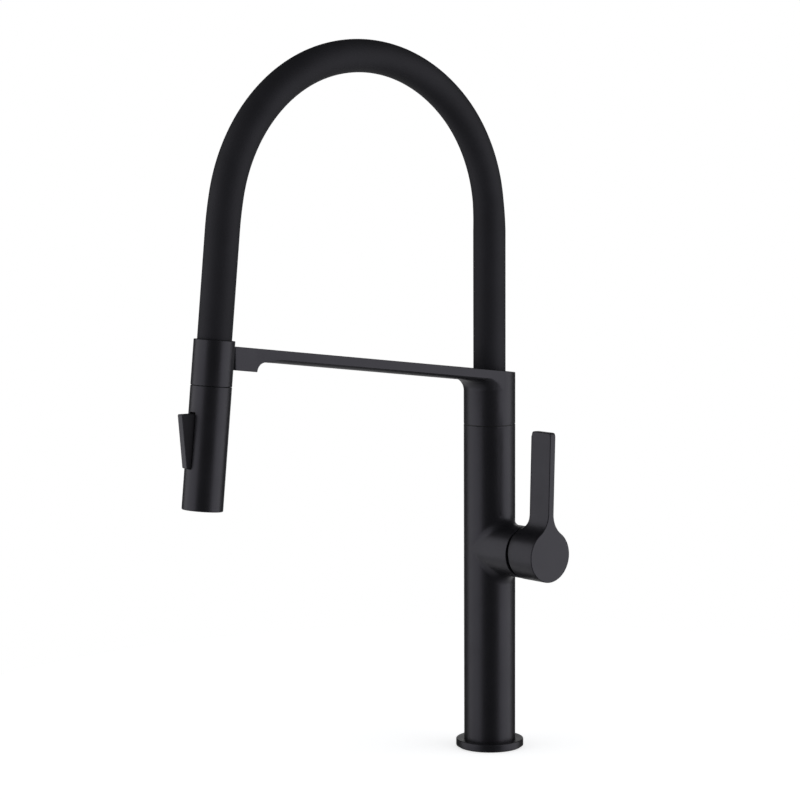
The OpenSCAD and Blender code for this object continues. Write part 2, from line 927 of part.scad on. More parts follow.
// The barbed nipple that carries the inner hose's lower end
module hose_nipple() {
    color(brass)
        translate([0, 0, nipple_z])
            barbed_nipple(nipple_r, nipple_body_l);
}

// A threaded body with a barb on top, and the waterway through both
module barbed_nipple(body_r, body_l) {
    difference() {
        union() {
            cylinder(r = body_r, h = body_l);
            cylinder(r = barb_r, h = body_l + barb_l);
        }
        translate([0, 0, -cut])
            cylinder(r = waterway_r, h = body_l + barb_l + 2 * cut);
    }
}

// A whole hose as one swept tube: straight from the given height, round the arch and down past
// the docking ring's top. Its outer radius is given at both ends and just past the riser.
module hose_run(from_z, past_ring, end_r, bend_r_out, wall, sides) {
    stops = concat(
        [[0, from_z, 0], [hose_start[0], hose_start[1], 0]],
        [for (i = [0 : bends - 1]) let (steps = ceil(bend_a[i] / 5)) each
            [for (k = [1 : steps]) let (t = heading(i) + bend_a[i] * k / steps)
                concat(on_bend(i, t), t)]],
        [concat(ring_top + past_ring * [sin(lean), -cos(lean)], heading(bends))]);
    full_turn = heading(bends);
    function outer_r(t) = lookup(t, [[0, end_r], [bend_a[0], bend_r_out], [full_turn, end_r]]);
    function ring(stop, r) = [for (k = [0 : sides - 1])
        let (a = 360 * k / sides)
        [stop[0] + r * cos(a) * cos(stop[2]), r * sin(a), stop[1] - r * cos(a) * sin(stop[2])]];
    outside = [for (stop = stops) each ring(stop, outer_r(stop[2]))];
    inside = [for (stop = stops) each ring(stop, outer_r(stop[2]) - wall)];
    n = len(stops);
    inner = n * sides;
    last = (n - 1) * sides;
    function next(k) = (k + 1) % sides;
    walls = [for (i = [0 : n - 2], k = [0 : sides - 1])
        let (a = i * sides + k, b = i * sides + next(k))
        each [
            [a, a + sides, b], [b, a + sides, b + sides],
            [inner + a, inner + b, inner + a + sides], [inner + b, inner + b + sides, inner + a + sides]]];
    ends = [for (k = [0 : sides - 1]) each [
        [k, next(k), inner + k], [next(k), inner + next(k), inner + k],
        [last + k, inner + last + k, last + next(k)],
        [last + next(k), inner + last + k, inner + last + next(k)]]];
    along_spout()
        polyhedron(concat(outside, inside), concat(walls, ends));
}

module inner_hose() {
    color(soft_black)
        hose_run(nipple_z + nipple_body_l, hose_depth - fit, hose_d / 2, hose_d / 2, hose_wall, 16);
}

module hose_sleeve() {
    color(soft_black)
        hose_run(riser_seat_z, sleeve_depth - loose, sleeve_d / 2, sleeve_bend_d / 2, sleeve_wall, 32);
}

module docking_ring() {
    color(black)
        on_sprayer()
            difference() {
                sprayer_rod(0, ring_l, wand_r);
                sprayer_rod(-cut, sleeve_depth, sleeve_seat_r);
                sprayer_rod(0, ring_l + cut, ring_bore_r);
                sprayer_rod(ledge_z, ring_l + cut, neck_bore_r);
                keeper_place()
                    cylinder(r = magnet_d / 2, h = keeper_t + loose);
            }
}

// The steel keeper's place, under a thin skin of the ring, facing the magnet
module keeper_place() {
    translate([-wand_r + keeper_skin, 0, -ring_mid])
        rotate([0, 90, 0])
            children();
}

module ring_keeper() {
    color(steel)
        on_sprayer()
            keeper_place()
                cylinder(r = magnet_d / 2 - thread_fit, h = keeper_t);
}

module hose_ferrule() {
    color(steel)
        on_sprayer()
            difference() {
                sprayer_rod(-ferrule_l, hose_depth - 0.5, hose_d / 2 + ferrule_wall);
                sprayer_rod(-ferrule_l - cut, hose_depth + cut, hose_d / 2 + fit);
            }
}

// The hose's end fitting: barb above, body in the ring, and the stem that the wand turns on
module swivel_nipple() {
    body_top = hose_depth;
    color(brass)
        on_sprayer()
            difference() {
                union() {
                    sprayer_rod(body_top - barb_l, body_top, barb_r);
                    sprayer_rod(body_top, ledge_z, ring_bore_r - thread_fit);
                    sprayer_rod(body_top, swivel_flange_z, swivel_r);
                    sprayer_rod(swivel_flange_z, swivel_flange_z + swivel_flange_t, swivel_flange_r);
                    sprayer_rod(swivel_flange_z, core_top + socket_depth - 1, core_socket_r - run);
                }
                sprayer_rod(body_top - barb_l - cut, core_top + socket_depth, waterway_r);
                translate([0, 0, -swivel_seal_z])
                    rotate_extrude()
                        translate([core_socket_r - 0.75, -0.8])
                            square([2, 1.6]);
            }
}

module swivel_seal() {
    color(rubber)
        on_sprayer()
            translate([0, 0, -swivel_seal_z])
                rotate_extrude()
                    translate([core_socket_r - 0.4, 0])
                        circle(r = 0.35, $fn = 24);
}

// The nut that holds the wand on the swivel's flange
module swivel_nut() {
    color(brass)
        on_sprayer()
            difference() {
                sprayer_rod(nut_top, nut_end, nut_r);
                sprayer_rod(nut_top - cut, nut_end + cut, swivel_r + run);
                sprayer_rod(swivel_flange_z - run, nut_end + cut, swivel_flange_r + loose);
            }
}

module wand_body() {
    edge_r = 0.8;
    color(black)
        on_sprayer()
            difference() {
                union() {
                    difference() {
                        translate([0, 0, -wand_end])
                            rotate_extrude()
                                difference() {
                                    square([wand_r, wand_l]);
                                    translate([wand_r - edge_r, edge_r])
                                        difference() {
                                            translate([0, -edge_r - cut])
                                                square(edge_r + cut);
                                            circle(r = edge_r, $fn = 48);
                                        }
                                }
                        sprayer_rod(wand_top - cut, wand_end + cut, neck_bore_r);
                    }
                    trigger_cheeks();
                }
                trigger_slot();
                trigger_pin_shape(trigger_pin_d / 2, 2 * (trigger_w / 2 + trigger_gap + cheek_t) + cut);
            }
}

// Two ribs inside the shell that hold the trigger's pin
module trigger_cheeks() {
    half = trigger_w / 2 + trigger_gap;
    start_x = core_r + cheek_gap;
    for (side = [-1, 1])
        translate([start_x, side * (half + cheek_t / 2) - cheek_t / 2, -trigger_end - 2])
            cube([neck_bore_r + cheek_gap - start_x, cheek_t, cheek_h]);
}

module trigger_slot() {
    half = trigger_w / 2 + trigger_gap;
    top = trigger_z - 2 * trigger_gap;
    bottom = trigger_end + trigger_gap;
    translate([core_r, -half, -bottom])
        cube([wand_r, 2 * half, bottom - top]);
}

module trigger_pin_shape(r, length) {
    translate([pin_x, length / 2, -pin_depth])
        rotate([90, 0, 0])
            cylinder(r = r, h = length, $fn = 48);
}

module trigger_pin() {
    color(steel)
        on_sprayer()
            trigger_pin_shape(trigger_pin_d / 2, 2 * (trigger_w / 2 + trigger_gap + cheek_t));
}

// The trigger from the side: a wedge, thick above, with its pin near the lower end
module trigger_outline() {
    out_top = wand_r + trigger_out_top;
    out_bottom = wand_r + trigger_out_bottom;
    corner = 1.2;
    foot_top = -pin_depth + pin_wall;
    difference() {
        polygon([
            [trigger_back_x, -trigger_z], [out_top, -trigger_z - 1],
            [out_bottom, -trigger_end], [foot_x + 1, -trigger_end],
            [foot_x, -trigger_end + 1], [foot_x, foot_top],
            [trigger_back_x, foot_top + trigger_back_x - foot_x]]);
        translate([out_top, -trigger_z - 1])
            rotate(45)
                square([corner, 3 * corner], center = true);
    }
}

module trigger() {
    color(black)
        on_sprayer()
            difference() {
                side_slab(trigger_w)
                    trigger_outline();
                trigger_pin_shape(trigger_pin_d / 2 + run, trigger_w + cut);
            }
}

module diverter_plunger() {
    tip_x = trigger_back_x - loose;
    color(steel)
        on_sprayer()
            translate([0, 0, -plunger_depth])
                rotate([0, 90, 0]) {
                    translate([0, 0, -1])
                        cylinder(r = plunger_r, h = tip_x + 1, $fn = 48);
                    translate([0, 0, tip_x - 1.6])
                        cylinder(r = plunger_r + 0.9, h = 1, $fn = 48);
                }
}

// The waterway inside the wand, with the plunger's cross bore and the foot above the mat
module wand_core() {
    color(plastic)
        on_sprayer()
            difference() {
                union() {
                    sprayer_rod(core_top, core_foot_z + 1, core_r);
                    sprayer_rod(core_foot_z, mat_z, neck_bore_r - fit);
                }
                sprayer_rod(core_top - cut, core_top + socket_depth, core_socket_r);
                sprayer_rod(core_top, core_foot_z + 1, waterway_r);
                sprayer_rod(core_foot_z + 2, mat_z + cut, neck_bore_r - 2);
                translate([-4.8, 0, -plunger_depth])
                    rotate([0, 90, 0])
                        cylinder(r = plunger_r + run, h = core_r + 5.8, $fn = 48);
            }
}

// Places a nozzle at each point of the spray face's two rings
module each_nozzle() {
    for (i = [0 : outer_nozzles - 1])
        rotate([0, 0, 360 * i / outer_nozzles])
            translate([outer_ring_r, 0, 0])
                children();
    for (i = [0 : inner_nozzles - 1])
        rotate([0, 0, 360 * i / inner_nozzles])
            translate([inner_ring_r, 0, 0])
                children();
}

module spray_face() {
    color(black)
        on_sprayer()
            translate([0, 0, -face_z - face_t])
                difference() {
                    cylinder(r = neck_bore_r - fit, h = face_t);
                    translate([0, 0, -cut])
                        cylinder(r = aerator_r + fit, h = face_t + 2 * cut);
                    each_nozzle()
                        translate([0, 0, -cut])
                            cylinder(r = nozzle_r + thread_fit, h = face_t + 2 * cut, $fn = 24);
                }
}

// Soft mat behind the spray face, with a tube that reaches through each of its holes
module nozzle_mat() {
    color(rubber)
        on_sprayer()
            translate([0, 0, -face_z - face_t - tip_proud])
                difference() {
                    union() {
                        translate([0, 0, face_t + tip_proud])
                            cylinder(r = neck_bore_r - fit, h = mat_t);
                        each_nozzle()
                            cylinder(r = nozzle_r, h = face_t + mat_t, $fn = 24);
                    }
                    translate([0, 0, -cut])
                        cylinder(r = aerator_r + fit, h = face_t + mat_t + 2 * cut);
                    each_nozzle()
                        translate([0, 0, -cut])
                            cylinder(r = nozzle_r / 2, h = face_t + mat_t + 2 * cut, $fn = 24);
                }
}

module aerator() {
    slot_h = 3;
    color(plastic)
        on_sprayer()
            difference() {
                sprayer_rod(mat_z, face_z + face_t, aerator_r);
                sprayer_rod(mat_z + 1, face_z + face_t + cut, aerator_r - 1);
                for (i = [-1 : 1])
                    translate([-aerator_r, 2 * i - 0.5, -mat_z - 2])
                        cube([2 * aerator_r, 1, slot_h]);
            }
}

base_gasket();
base_flange();
foot_insert();
column();
valve_block();
outlet_tube();
port_seal(-port_y, -port_z);  // hot_port_seal
port_seal(port_y, -port_z);  // cold_port_seal
port_seal(0, outlet_port_z);  // mixed_port_seal
cartridge_body();
fixed_disc();
cartridge_nut();
trim_ring();
swivel_spigot();
spigot_seal(lower_seal_z);  // lower_spigot_seal
spigot_seal(upper_seal_z);  // upper_spigot_seal
slip_ring();
cartridge_carrier();
stem_pin();
moving_disc();
lever_stem();
lever();
lever_set_screw();
set_screw_plug();
arm();
collar_set_screw();
dock_magnet();
riser_tube();
hose_nipple();
inner_hose();
hose_sleeve();
docking_ring();
ring_keeper();
hose_ferrule();
swivel_nipple();
swivel_seal();
swivel_nut();
wand_body();
wand_core();
nozzle_mat();
spray_face();
aerator();
trigger_pin();
trigger();
diverter_plunger();
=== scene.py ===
"""A pull-down kitchen faucet in matte black: round column, side lever, swivelling arm, hose arch and docked sprayer.

The file follows the faucet as it is put together, from the deck up and out to the sprayer. Sizes are in millimetres,
+Z is up, the spout side is -Y and the lever side +X.
"""
import json
import math

import bmesh
import bpy
import numpy as np
from mathutils import Matrix, Vector


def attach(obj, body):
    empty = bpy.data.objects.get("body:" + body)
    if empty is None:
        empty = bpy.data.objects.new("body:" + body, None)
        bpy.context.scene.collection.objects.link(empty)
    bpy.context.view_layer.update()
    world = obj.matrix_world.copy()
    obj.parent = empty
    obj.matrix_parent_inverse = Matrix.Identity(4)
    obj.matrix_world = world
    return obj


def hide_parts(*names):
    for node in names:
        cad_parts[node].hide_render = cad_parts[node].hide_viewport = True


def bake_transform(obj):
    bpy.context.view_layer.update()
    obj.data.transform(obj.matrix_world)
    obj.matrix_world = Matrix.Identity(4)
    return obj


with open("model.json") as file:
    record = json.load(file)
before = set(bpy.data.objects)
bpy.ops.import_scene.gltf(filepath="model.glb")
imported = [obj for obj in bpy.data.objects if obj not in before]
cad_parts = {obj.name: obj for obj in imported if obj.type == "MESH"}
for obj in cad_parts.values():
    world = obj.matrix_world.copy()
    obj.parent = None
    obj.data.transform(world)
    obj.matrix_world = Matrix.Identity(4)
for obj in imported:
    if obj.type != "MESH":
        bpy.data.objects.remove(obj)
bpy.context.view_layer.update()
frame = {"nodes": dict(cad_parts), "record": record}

# ------------------------
# The studio: a tall soft box on each side, a pale table and a white room behind it.
# The camera stands on the lever's side of the spout, a little lower than the top of the hose's arch, and looks
# slightly down.
# ------------------------
MM, UM = 1e-3, 1e-6
scene = bpy.context.scene
scene.view_settings.view_transform = "Standard"


def linear(colour):
    """Turns an sRGB hex colour into linear red, green, blue and alpha.
    A channel is divided by 12.92 up to 0.04045; above that 0.055 is added, and it is divided by 1.055 and raised to
    the power 2.4."""
    srgb = np.array([int(colour[i : i + 2], 16) for i in (1, 3, 5)]) / 255
    return (*np.where(srgb <= 0.04045, srgb / 12.92, ((srgb + 0.055) / 1.055) ** 2.4), 1.0)


def feed(tree, node, inputs):
    """Gives each input of a node its value, or links it from another node's output."""
    for name, value in inputs.items():
        if isinstance(value, bpy.types.NodeSocket):
            tree.links.new(value, node.inputs[name])
        else:
            node.inputs[name].default_value = value


def add_node(tree, kind, inputs=None, **settings):
    """Adds one node with its settings and feeds its inputs."""
    node = tree.nodes.new(kind)
    for name, value in settings.items():
        setattr(node, name, value)
    feed(tree, node, inputs or {})
    return node


def aim(obj, place, target, roll_deg=0.0):
    """Puts a lamp or camera at a place, in metres, looking at a target."""
    back = (place - target).normalized()
    facing = back.to_track_quat("Z", "Y").to_matrix().to_4x4() @ Matrix.Rotation(math.radians(roll_deg), 4, "Z")
    obj.matrix_world = Matrix.Translation(place) @ facing


camera_place = Vector((1.4571, -1.32728, 0.46677))
camera_yaw, camera_pitch, camera_roll = 139.583, -6.013, -0.24
heading = Vector((
    math.cos(math.radians(camera_pitch)) * math.cos(math.radians(camera_yaw)),
    math.cos(math.radians(camera_pitch)) * math.sin(math.radians(camera_yaw)),
    math.sin(math.radians(camera_pitch))))
lens = bpy.data.cameras.new("camera")
lens.lens = 121.15
lens.sensor_width = 36
lens.clip_start, lens.clip_end = 0.05, 60
camera = bpy.data.objects.new("camera", lens)
scene.collection.objects.link(camera)
aim(camera, camera_place, camera_place + heading, camera_roll)
scene.camera = camera

# Soft boxes to the left and right of the camera: bearing from it seen from the faucet, width in metres, and watts
box_distance, box_height, box_tall = 1.4, 0.375, 1.95
lit_point = Vector((0.0, -0.12, 0.25))
for name, bearing, width, watts in (("left_box", -76.5, 2.35, 15.7), ("right_box", 78, 1.95, 15.4)):
    lamp = bpy.data.lights.new(name, "AREA")
    lamp.shape = "RECTANGLE"
    lamp.size, lamp.size_y = width, box_tall
    lamp.energy = watts
    box = bpy.data.objects.new(name, lamp)
    scene.collection.objects.link(box)
    azimuth = math.radians(camera_yaw + 180 + bearing)
    place = lit_point + box_distance * Vector((math.cos(azimuth), math.sin(azimuth), 0))
    place.z = box_height
    aim(box, place, lit_point)

# The room, as a black finish mirrors it: white behind the table, a pale floor to the sides and at the back, and dark
# behind the camera and straight below, where the faucet's own shadow lies
world = bpy.data.worlds.new("studio")
scene.world = world
world.use_nodes = True
world.cycles.sampling_method = "NONE"
room = world.node_tree
room.nodes.clear()
looking = add_node(room, "ShaderNodeTexCoord").outputs["Generated"]
behind = add_node(room, "ShaderNodeVectorMath", {0: looking, 1: (heading.x, heading.y, 0.0)},
                  operation="DOT_PRODUCT")
wall = add_node(room, "ShaderNodeMapRange", {"Value": behind.outputs["Value"], "From Min": 0.9, "From Max": 0.98,
                "To Min": 0.05, "To Max": 0.8}, interpolation_type="SMOOTHSTEP")
upward = add_node(room, "ShaderNodeSeparateXYZ", {"Vector": looking}).outputs["Z"]
below = add_node(room, "ShaderNodeMapRange", {"Value": upward, "From Min": -0.25, "From Max": -0.5,
                 "To Max": 0.6}, interpolation_type="SMOOTHSTEP")
across = add_node(room, "ShaderNodeVectorMath", {0: looking, 1: (-heading.y, heading.x, 0.0)},
                  operation="DOT_PRODUCT")
sideways = add_node(room, "ShaderNodeMath", {0: across.outputs["Value"]}, operation="ABSOLUTE")
away = add_node(room, "ShaderNodeMath", {0: sideways.outputs[0], 1: behind.outputs["Value"]}, operation="MAXIMUM")
lit_part = add_node(room, "ShaderNodeMapRange", {"Value": away.outputs[0], "From Min": 0.2, "From Max": 0.65,
                    "To Min": 0.12}, interpolation_type="SMOOTHSTEP")
floor = add_node(room, "ShaderNodeMath", {0: below.outputs["Result"], 1: lit_part.outputs["Result"]},
                 operation="MULTIPLY")
brighter = add_node(room, "ShaderNodeMath", {0: wall.outputs["Result"], 1: floor.outputs[0]}, operation="MAXIMUM")
mirrored = add_node(room, "ShaderNodeBackground", {"Color": brighter.outputs[0]})
ray = add_node(room, "ShaderNodeLightPath")
ambient = add_node(room, "ShaderNodeBackground", {"Color": linear("#f2f4f7"), "Strength": 0.55})
white = add_node(room, "ShaderNodeBackground", {"Color": (1, 1, 1, 1)})
lit = add_node(room, "ShaderNodeMixShader", {0: ray.outputs["Is Glossy Ray"], 1: ambient.outputs[0],
               2: mirrored.outputs[0]})
seen = add_node(room, "ShaderNodeMath", {0: ray.outputs["Is Camera Ray"], 1: ray.outputs["Is Transmission Ray"]},
                operation="MAXIMUM")
shown = add_node(room, "ShaderNodeMixShader", {0: seen.outputs[0], 1: lit.outputs[0], 2: white.outputs[0]})
add_node(room, "ShaderNodeOutputWorld", {"Surface": shown.outputs[0]})


def welded(name, patches, sharp_deg=35):
    """Joins grids of points, in millimetres, into one closed surface.
    Each patch is rows by columns of points, and every four neighbours make a face. Points of different patches that
    meet become one, the faces are turned outwards, and an edge sharper than the given angle stays sharp."""
    points = np.concatenate([patch.reshape(-1, 3) for patch in patches]) * MM
    starts = np.cumsum([0] + [patch.shape[0] * patch.shape[1] for patch in patches])
    faces = []
    for patch, start in zip(patches, starts):
        index = start + np.arange(patch.shape[0] * patch.shape[1]).reshape(patch.shape[:2])
        corners = (index[:-1, :-1], index[:-1, 1:], index[1:, 1:], index[1:, :-1])
        faces.append(np.stack(corners, -1).reshape(-1, 4))
    mesh = bpy.data.meshes.new(name)
    mesh.from_pydata(points.tolist(), [], np.concatenate(faces).tolist())
    shell = bmesh.new()
    shell.from_mesh(mesh)
    bmesh.ops.remove_doubles(shell, verts=shell.verts, dist=0.0005 * MM)
    bmesh.ops.recalc_face_normals(shell, faces=shell.faces)
    shell.to_mesh(mesh)
    shell.free()
    mesh.shade_smooth()
    mesh.set_sharp_from_angle(angle=math.radians(sharp_deg))
    obj = bpy.data.objects.new(name, mesh)
    scene.collection.objects.link(obj)
    return obj


def turned(profile, around=None):
    """Turns a profile of (radius, height) points about the Z axis: x = radius cos a, y = radius sin a, z = height."""
    a = (np.linspace(0, 2 * np.pi, 129) if around is None else around)[None, :]
    radius, height = profile.T[:, :, None]
    return np.stack([radius * np.cos(a), radius * np.sin(a), height + 0 * a], -1)


# The table: pale laminate that the faucet stands on. The camera sees it lifted to white, with a faint shadow round
# the base. Mirrored rays pass through it, so a black finish mirrors the room's floor alike from every side.
table_finish = bpy.data.materials.new("pale_table")
table_finish.use_nodes = True
tree = table_finish.node_tree
tree.nodes.clear()
seen_by = add_node(tree, "ShaderNodeLightPath")
sheet = add_node(tree, "ShaderNodeBsdfDiffuse", {"Color": linear("#cfcfcf")})
lifted = add_node(tree, "ShaderNodeEmission", {"Color": (1, 1, 1, 1), "Strength": 0.6})
both = add_node(tree, "ShaderNodeAddShader", {0: sheet.outputs[0], 1: lifted.outputs[0]})
lit_sheet = add_node(tree, "ShaderNodeMixShader", {0: seen_by.outputs["Is Camera Ray"], 1: sheet.outputs[0],
                     2: both.outputs[0]})
passed = add_node(tree, "ShaderNodeBsdfTransparent")
laid = add_node(tree, "ShaderNodeMixShader", {0: seen_by.outputs["Is Glossy Ray"], 1: lit_sheet.outputs[0],
                2: passed.outputs[0]})
add_node(tree, "ShaderNodeOutputMaterial", {"Surface": laid.outputs[0]})
table_r, table_t = 480.0, 4.0
table = welded("table", [turned(np.array([[0, 0], [table_r, 0], [table_r, -table_t], [0, -table_t]]))])
table.data.materials.append(table_finish)

# ------------------------
# Base: a black rubber gasket between the deck and the flange, and the flange, a flat turned ring that hides the
# hole in the deck and carries the same coat as the column.
# ------------------------
gasket_r, gasket_t, gasket_bore = 23.5, 1.0, 16.75
flange_r, flange_h, column_r, slip_fit = 25.0, 5.1, 19.0, 0.05


def rounded(corners, radii, steps=6):
    """Rounds the corners of a closed outline.
    Each arc touches its corner's two sides at radius / tan(half the corner's angle), about a centre on the bisector
    at radius / sin(half the angle); the arc's points are slerped between the two touching points."""
    corners = np.array(corners, float)
    radii = np.broadcast_to(np.array(radii, float), len(corners))[:, None]
    before, after = np.roll(corners, 1, 0) - corners, np.roll(corners, -1, 0) - corners
    before /= np.linalg.norm(before, axis=1, keepdims=True)
    after /= np.linalg.norm(after, axis=1, keepdims=True)
    half = np.arccos(np.clip((before * after).sum(1, keepdims=True), -1, 1)) / 2
    bisector = (before + after) / np.maximum(np.linalg.norm(before + after, axis=1, keepdims=True), 1e-9)
    centre = corners + bisector * radii / np.sin(half)
    start = corners + before * radii / np.tan(half) - centre
    end = corners + after * radii / np.tan(half) - centre
    sweep = np.pi - 2 * half
    s = np.linspace(0, 1, steps + 1)[None, :, None]
    sweep = np.maximum(sweep, 1e-6)[:, None]
    arc = (np.sin((1 - s) * sweep) * start[:, None] + np.sin(s * sweep) * end[:, None]) / np.sin(sweep)
    return (centre[:, None] + arc).reshape(-1, 2)


def closed(profile):
    """Repeats the first point of an outline at its end."""
    return np.vstack([profile, profile[:1]])


def turned_ring(corners, radii):
    """A ring, turned from a closed outline of (radius, height) corners, each rounded by its own radius."""
    return turned(closed(rounded(corners, radii)))


def new_finish(name):
    """Starts a finish: the material, its tree, its shader, and the coordinates that its patterns are laid on."""
    finish = bpy.data.materials.new(name)
    finish.use_nodes = True
    tree = finish.node_tree
    return finish, tree, tree.nodes["Principled BSDF"], add_node(tree, "ShaderNodeTexCoord").outputs["Object"]


def mottle(tree, at, size_mm, detail, rough=0.5):
    """Noise with grains of about the given size."""
    return add_node(tree, "ShaderNodeTexNoise", {"Vector": at, "Scale": 1 / (size_mm * MM), "Detail": detail,
                    "Roughness": rough}).outputs["Fac"]


def two_tone(tree, share, first, second):
    """Goes from one colour at a share of 0 to another at 1."""
    return add_node(tree, "ShaderNodeMix", {"Factor": share, "A": linear(first), "B": linear(second)},
                    data_type="RGBA").outputs["Result"]


cool_sheen = linear("#f1eeff")


def coated_black(name, colour="#101012", grain="#161618", rough=(0.35, 0.43), grain_mm=0.5, grit_um=7):
    """Matte black coat on brass: an electrostatic paint, baked on. It has a fine orange peel, so a lamp's mirror
    image spreads into a broad soft band. Tiny lighter specks are painted into its colour on the grain's raised spots:
    a painted glint, where the grain would catch the light."""
    finish, tree, shader, at = new_finish(name)
    cloud_mm = 22
    peel, cloud = mottle(tree, at, grain_mm, 3.0, 0.6), mottle(tree, at, cloud_mm, 2.0)
    glint_share = add_node(tree, "ShaderNodeMapRange", {"Value": peel, "From Min": 0.35, "From Max": 0.75})
    # The lighter grain colour on the peel's raised spots is a painted glint
    mixed = two_tone(tree, glint_share.outputs["Result"], colour, grain)
    both = add_node(tree, "ShaderNodeMath", {0: peel, 1: cloud}, operation="MULTIPLY")
    gloss = add_node(tree, "ShaderNodeMapRange", {"Value": both.outputs[0], "From Min": 0.15, "From Max": 0.4,
                     "To Min": rough[0], "To Max": rough[1]})
    bump = add_node(tree, "ShaderNodeBump", {"Height": peel, "Strength": 0.35, "Distance": grit_um * UM})
    feed(tree, shader, {"Base Color": mixed, "Roughness": gloss.outputs["Result"],
         "Normal": bump.outputs["Normal"], "IOR": 1.5, "Specular Tint": cool_sheen})
    return finish


def moulded_rubber(name, colour, dust, rough=(0.6, 0.75), grain_mm=0.35, grit_um=12):
    """Black moulded rubber, silicone or soft plastic: dull, with a fine blasted grain from the mould, which breaks up
    every highlight, and a breath of pale dust that drifts over it in wide patches."""
    finish, tree, shader, at = new_finish(name)
    drift_mm = 35
    grain, drift = mottle(tree, at, grain_mm, 4.0, 0.65), mottle(tree, at, drift_mm, 3.0)
    haze = add_node(tree, "ShaderNodeMath", {0: grain, 1: drift}, operation="MULTIPLY")
    amount = add_node(tree, "ShaderNodeMapRange", {"Value": haze.outputs[0], "From Min": 0.15, "From Max": 0.45})
    mixed = two_tone(tree, amount.outputs["Result"], colour, dust)
    gloss = add_node(tree, "ShaderNodeMapRange", {"Value": grain, "To Min": rough[0], "To Max": rough[1]})
    bump = add_node(tree, "ShaderNodeBump", {"Height": grain, "Strength": 0.4, "Distance": grit_um * UM})
    feed(tree, shader, {"Base Color": mixed, "Roughness": gloss.outputs["Result"],
         "Normal": bump.outputs["Normal"], "IOR": 1.41, "Specular IOR Level": 0.38, "Specular Tint": cool_sheen})
    return finish


black_coat = coated_black("black_coat_on_brass")
black_rubber = moulded_rubber("black_moulded_rubber", "#161617", "#1e1e1f")

gasket = welded("gasket", [turned_ring(
    [(gasket_r, 0), (gasket_r, gasket_t), (gasket_bore, gasket_t), (gasket_bore, 0)], [0.35, 0.35, 0, 0])])
gasket.data.materials.append(black_rubber)
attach(gasket, "stand")
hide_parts("base_gasket")

flange_top, flange_bore = gasket_t + flange_h, column_r + slip_fit
flange = welded("flange", [turned_ring(
    [(flange_r, gasket_t), (flange_r, flange_top), (flange_bore, flange_top), (flange_bore, gasket_t)],
    [0.3, 0.6, 0.15, 0])])
flange.data.materials.append(black_coat)
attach(flange, "stand")
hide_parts("base_flange")

# ------------------------
# Column: a brass tube with a side boss of its own diameter, cast in one and blended by a fillet, then coated.
# The boss takes the mixing cartridge, and the tube's top carries the collar.
# ------------------------
column_top, valve_z, boss_reach, bore_r, blend_r = 241.4, 150.3, 38.0, 16.5, 8.5
lip_r = 0.35
front_a = np.linspace(-np.pi / 2, np.pi / 2, 97)
all_a = np.concatenate([front_a, np.linspace(np.pi / 2, 3 * np.pi / 2, 97)[1:]])


def saddle(radius, blend, a):
    """Height off the boss's axis at which the column's wall gives way: (radius + blend) cos a in front, 0 behind."""
    return (radius + blend) * np.maximum(np.cos(a), 0)


def column_wall(radius, blend, side, end):
    """The column's wall from the saddle curve to a level end: x = radius cos a, y = radius sin a."""
    start = valve_z + side * saddle(radius, blend, all_a)
    z = np.stack([start, np.full_like(all_a, end)])
    return np.stack([radius * np.cos(all_a) + 0 * z, radius * np.sin(all_a) + 0 * z, z], -1)


def boss_wall(radius, blend, end):
    """The boss's wall from the saddle curve out to its end: y = radius sin a, z = radius cos a."""
    start = (radius + blend) * np.abs(np.cos(all_a))
    x = np.stack([start, np.full_like(all_a, end)])
    return np.stack([x, radius * np.sin(all_a) + 0 * x, valve_z + radius * np.cos(all_a) + 0 * x], -1)


def boss_blend(side, arcs=16):
    """The fillet that a ball of radius blend_r leaves as it rolls along both walls.
    Its centre is (R cos a, R sin a, R cos a) with R the two radii together, and the surface is slerped at blend_r
    from the direction to the column, -(cos a, sin a, 0), to the direction to the boss, -(0, sin a, cos a)."""
    a = front_a[None, :, None]
    reach = column_r + blend_r
    centre = reach * np.concatenate([np.cos(a), np.sin(a), np.cos(a)], -1)
    to_column = -np.concatenate([np.cos(a), np.sin(a), 0 * a], -1)
    to_boss = -np.concatenate([0 * a, np.sin(a), np.cos(a)], -1)
    angle = np.maximum(np.arccos(np.clip(np.sin(a) ** 2, -1, 1)), 1e-6)
    s = np.linspace(0, 1, arcs + 1)[:, None, None]
    way = (np.sin((1 - s) * angle) * to_column + np.sin(s * angle) * to_boss) / np.sin(angle)
    ball = centre + blend_r * way
    ball[..., 2] = valve_z + side * ball[..., 2]
    return ball


def along_boss(patch):
    """Turns a patch made about Z so that its height runs along the boss, and its angle starts at the top."""
    return np.stack([patch[..., 2], patch[..., 1], valve_z + patch[..., 0]], -1)


def lip(outer, inner, end):
    """The rounded end of a tube: an outline from its outer wall over the end to its bore."""
    return rounded([(outer, end - 1), (outer, end), (inner, end), (inner, end - 1)], [0, lip_r, lip_r, 0])


column = welded("column", [
    column_wall(column_r, blend_r, 1, column_top - 1), column_wall(column_r, blend_r, -1, gasket_t),
    boss_wall(column_r, blend_r, boss_reach - 1), boss_blend(1), boss_blend(-1),
    column_wall(bore_r, 0, 1, column_top - 1), column_wall(bore_r, 0, -1, gasket_t),
    boss_wall(bore_r, 0, boss_reach - 1),
    turned(lip(column_r, bore_r, column_top), all_a), along_boss(turned(lip(column_r, bore_r, boss_reach), all_a)),
    turned(np.array([(column_r, gasket_t), (bore_r, gasket_t)]), all_a)])
column.data.materials.append(black_coat)
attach(column, "stand")
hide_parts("column")

# ------------------------
# Trim ring: turned brass with the black coat, screwed in over the cartridge's nut. Its front is domed about the pin
# that the lever rocks on, so it closes the gap behind the lever's cap at every angle, and the lever's stem comes out
# through its opening.
# ------------------------
trim_x, trim_bore, pivot_x, dome_r, dome_t, dome_open, dome_lip = 34.0, 9.65, 24.0, 21.9, 1.2, 8.2, 0.3


